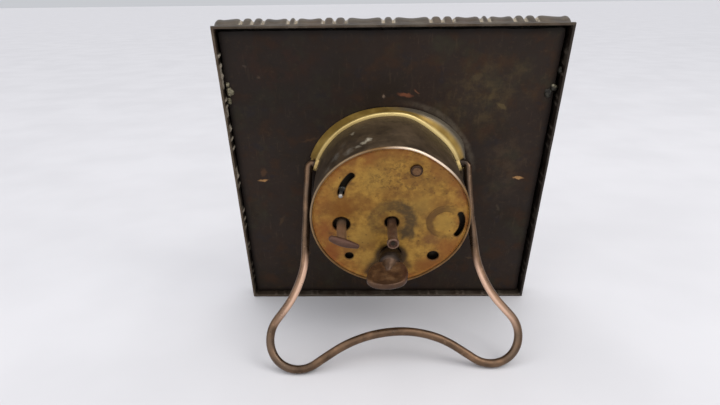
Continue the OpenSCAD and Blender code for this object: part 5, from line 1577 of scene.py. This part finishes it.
def build_hand(name, node, body, turn, z0, t, eye, bore, shape):
    sdf = lambda x, y: np.minimum(np.maximum(shape(x, y), circle(x, y, 0, 0, eye)), -circle(x, y, 0, 0, bore))
    v, f, d = plate(sdf, (-4, 4, -7, 23), 0.16, lambda x, y, d: np.full_like(x, z0 + t), lambda x, y, d: z0 + edge_round(d, 0.14) + 0.0 * x)
    c, s = math.cos(math.radians(turn)), math.sin(math.radians(turn))
    x, y = v[:, 0] * c - v[:, 1] * s + AX[0], v[:, 0] * s + v[:, 1] * c + AX[1]
    v = np.column_stack([x, y, v[:, 2]])
    mesh_object(name, v, outward(v, f), body, MT["black"], (node,), sharp=40)


def hour_shape(x, y):
    s = segment(x, y, 0, 0, 0, 9.0, 0.62, 0.42)
    s = np.maximum(s, segment(x, y, 0, -3.6, 0, 0, 0.75, 0.6))
    b = circle(x, y, 0, 9.8, 1.75)
    tip = segment(x, y, 0, 10.2, 0, 14.4, 1.35, 0.08)
    k = 0.5
    e = k * np.log(np.exp(s / k) + np.exp(b / k) + np.exp(tip / k))
    return e - 0.05


def minute_shape(x, y):
    s = segment(x, y, 0, 0, 0, 15.0, 0.55, 0.36)
    s = np.maximum(s, segment(x, y, 0, -4.6, 0, 0, 0.65, 0.5))
    b = circle(x, y, 0, 14.6, 1.25)
    tip = segment(x, y, 0, 15.0, 0, 20.8, 0.95, 0.08)
    k = 0.4
    e = k * np.log(np.exp(s / k) + np.exp(b / k) + np.exp(tip / k))
    return e - 0.05


build_hand("minute_hand_spade", "minute_hand", "minute", 60, -8.05, 0.3, 2.1, 1.25, minute_shape)
build_hand("hour_hand_spade", "hour_hand", "hour", -55, -7.25, 0.3, 2.7, 1.86, hour_shape)

# ---------------------------------------------------------------------------
# Floor, light and camera
# ---------------------------------------------------------------------------
bpy.ops.mesh.primitive_grid_add(x_subdivisions=8, y_subdivisions=8, size=80.0, location=(0, 0, -0.0002))
floor = bpy.context.object
floor.name = "floor"
fm = Mat("pale_floor", metallic=0.0, specular=0.3)
fm.base(fm.ramp(fm.noise(60, 3, 0.5), [(0.35, C(212, 211, 214)), (0.65, C(217, 216, 219))]))
fm.rough(fm.step(fm.noise(20, 3, 0.5), 0.3, 0.7, 0.62, 0.7))
floor.data.materials.append(fm.m)

world = bpy.data.worlds.new("soft_room")
bpy.context.scene.world = world
world.use_nodes = True
bg = world.node_tree.nodes["Background"]
bg.inputs["Color"].default_value = (0.93, 0.95, 1.0, 1)
bg.inputs["Strength"].default_value = 0.62


def area(name, where, to, size, power, color=(1, 1, 1)):
    li = bpy.data.lights.new(name, "AREA")
    li.shape = "RECTANGLE"
    li.size, li.size_y = size
    li.energy = power
    li.color = color
    ob = bpy.data.objects.new(name, li)
    bpy.context.scene.collection.objects.link(ob)
    ob.location = where
    d = Vector(to) - Vector(where)
    ob.rotation_euler = d.to_track_quat("-Z", "Y").to_euler()
    return ob


area("key_light", (-0.55, 0.35, 0.75), (0, 0, 0.05), (0.5, 0.5), 2.4, (1.0, 0.97, 0.93))
sky = bpy.data.lights.new("high_soft_light", "SUN")
sky.energy = 1.75
sky.angle = math.radians(100)
sky.color = (1.0, 0.99, 0.98)
sky_ob = bpy.data.objects.new("high_soft_light", sky)
bpy.context.scene.collection.objects.link(sky_ob)
sky_ob.rotation_euler = (-Vector((0.08, 0.46, 0.85))).to_track_quat("-Z", "Y").to_euler()
area("fill_light", (0.7, 0.45, 0.35), (0, 0, 0.05), (0.5, 0.5), 0.8, (0.96, 0.98, 1.0))

cam_data = bpy.data.cameras.new("camera")
cam_data.sensor_fit = "HORIZONTAL"
cam_data.sensor_width = 36.0
cam_data.lens = 545.8 / 720 * 36.0
cam_data.clip_start = 0.01
cam_data.clip_end = 500.0
cam = bpy.data.objects.new("camera", cam_data)
bpy.context.scene.collection.objects.link(cam)
phi, psi, rho = math.radians(33.36), math.radians(0.99), math.radians(0.30)
c, s = math.cos(phi), math.sin(phi)
Bm = np.array([[1, 0, 0], [0, c, -s], [0, -s, -c]]).T
cy_, sy_ = math.cos(psi), math.sin(psi)
Ym = np.array([[cy_, 0, sy_], [0, 1, 0], [-sy_, 0, cy_]])
cr, sr = math.cos(rho), math.sin(rho)
Rm = np.array([[cr, -sr, 0], [sr, cr, 0], [0, 0, 1]])
M = Rm @ Ym @ Bm
tvec = np.array([0.102, -0.350, 2.039]) * 120.0
eye = -M.T @ tvec
rx, ux, fx = D(M[0]), D(M[1]), D(M[2])
pos = Vector(P(eye)[0])
mw = Matrix(((rx.x, ux.x, -fx.x, pos.x), (rx.y, ux.y, -fx.y, pos.y), (rx.z, ux.z, -fx.z, pos.z), (0, 0, 0, 1)))
cam.matrix_world = mw
bpy.context.scene.camera = cam
bpy.context.scene.view_settings.view_transform = "Standard"
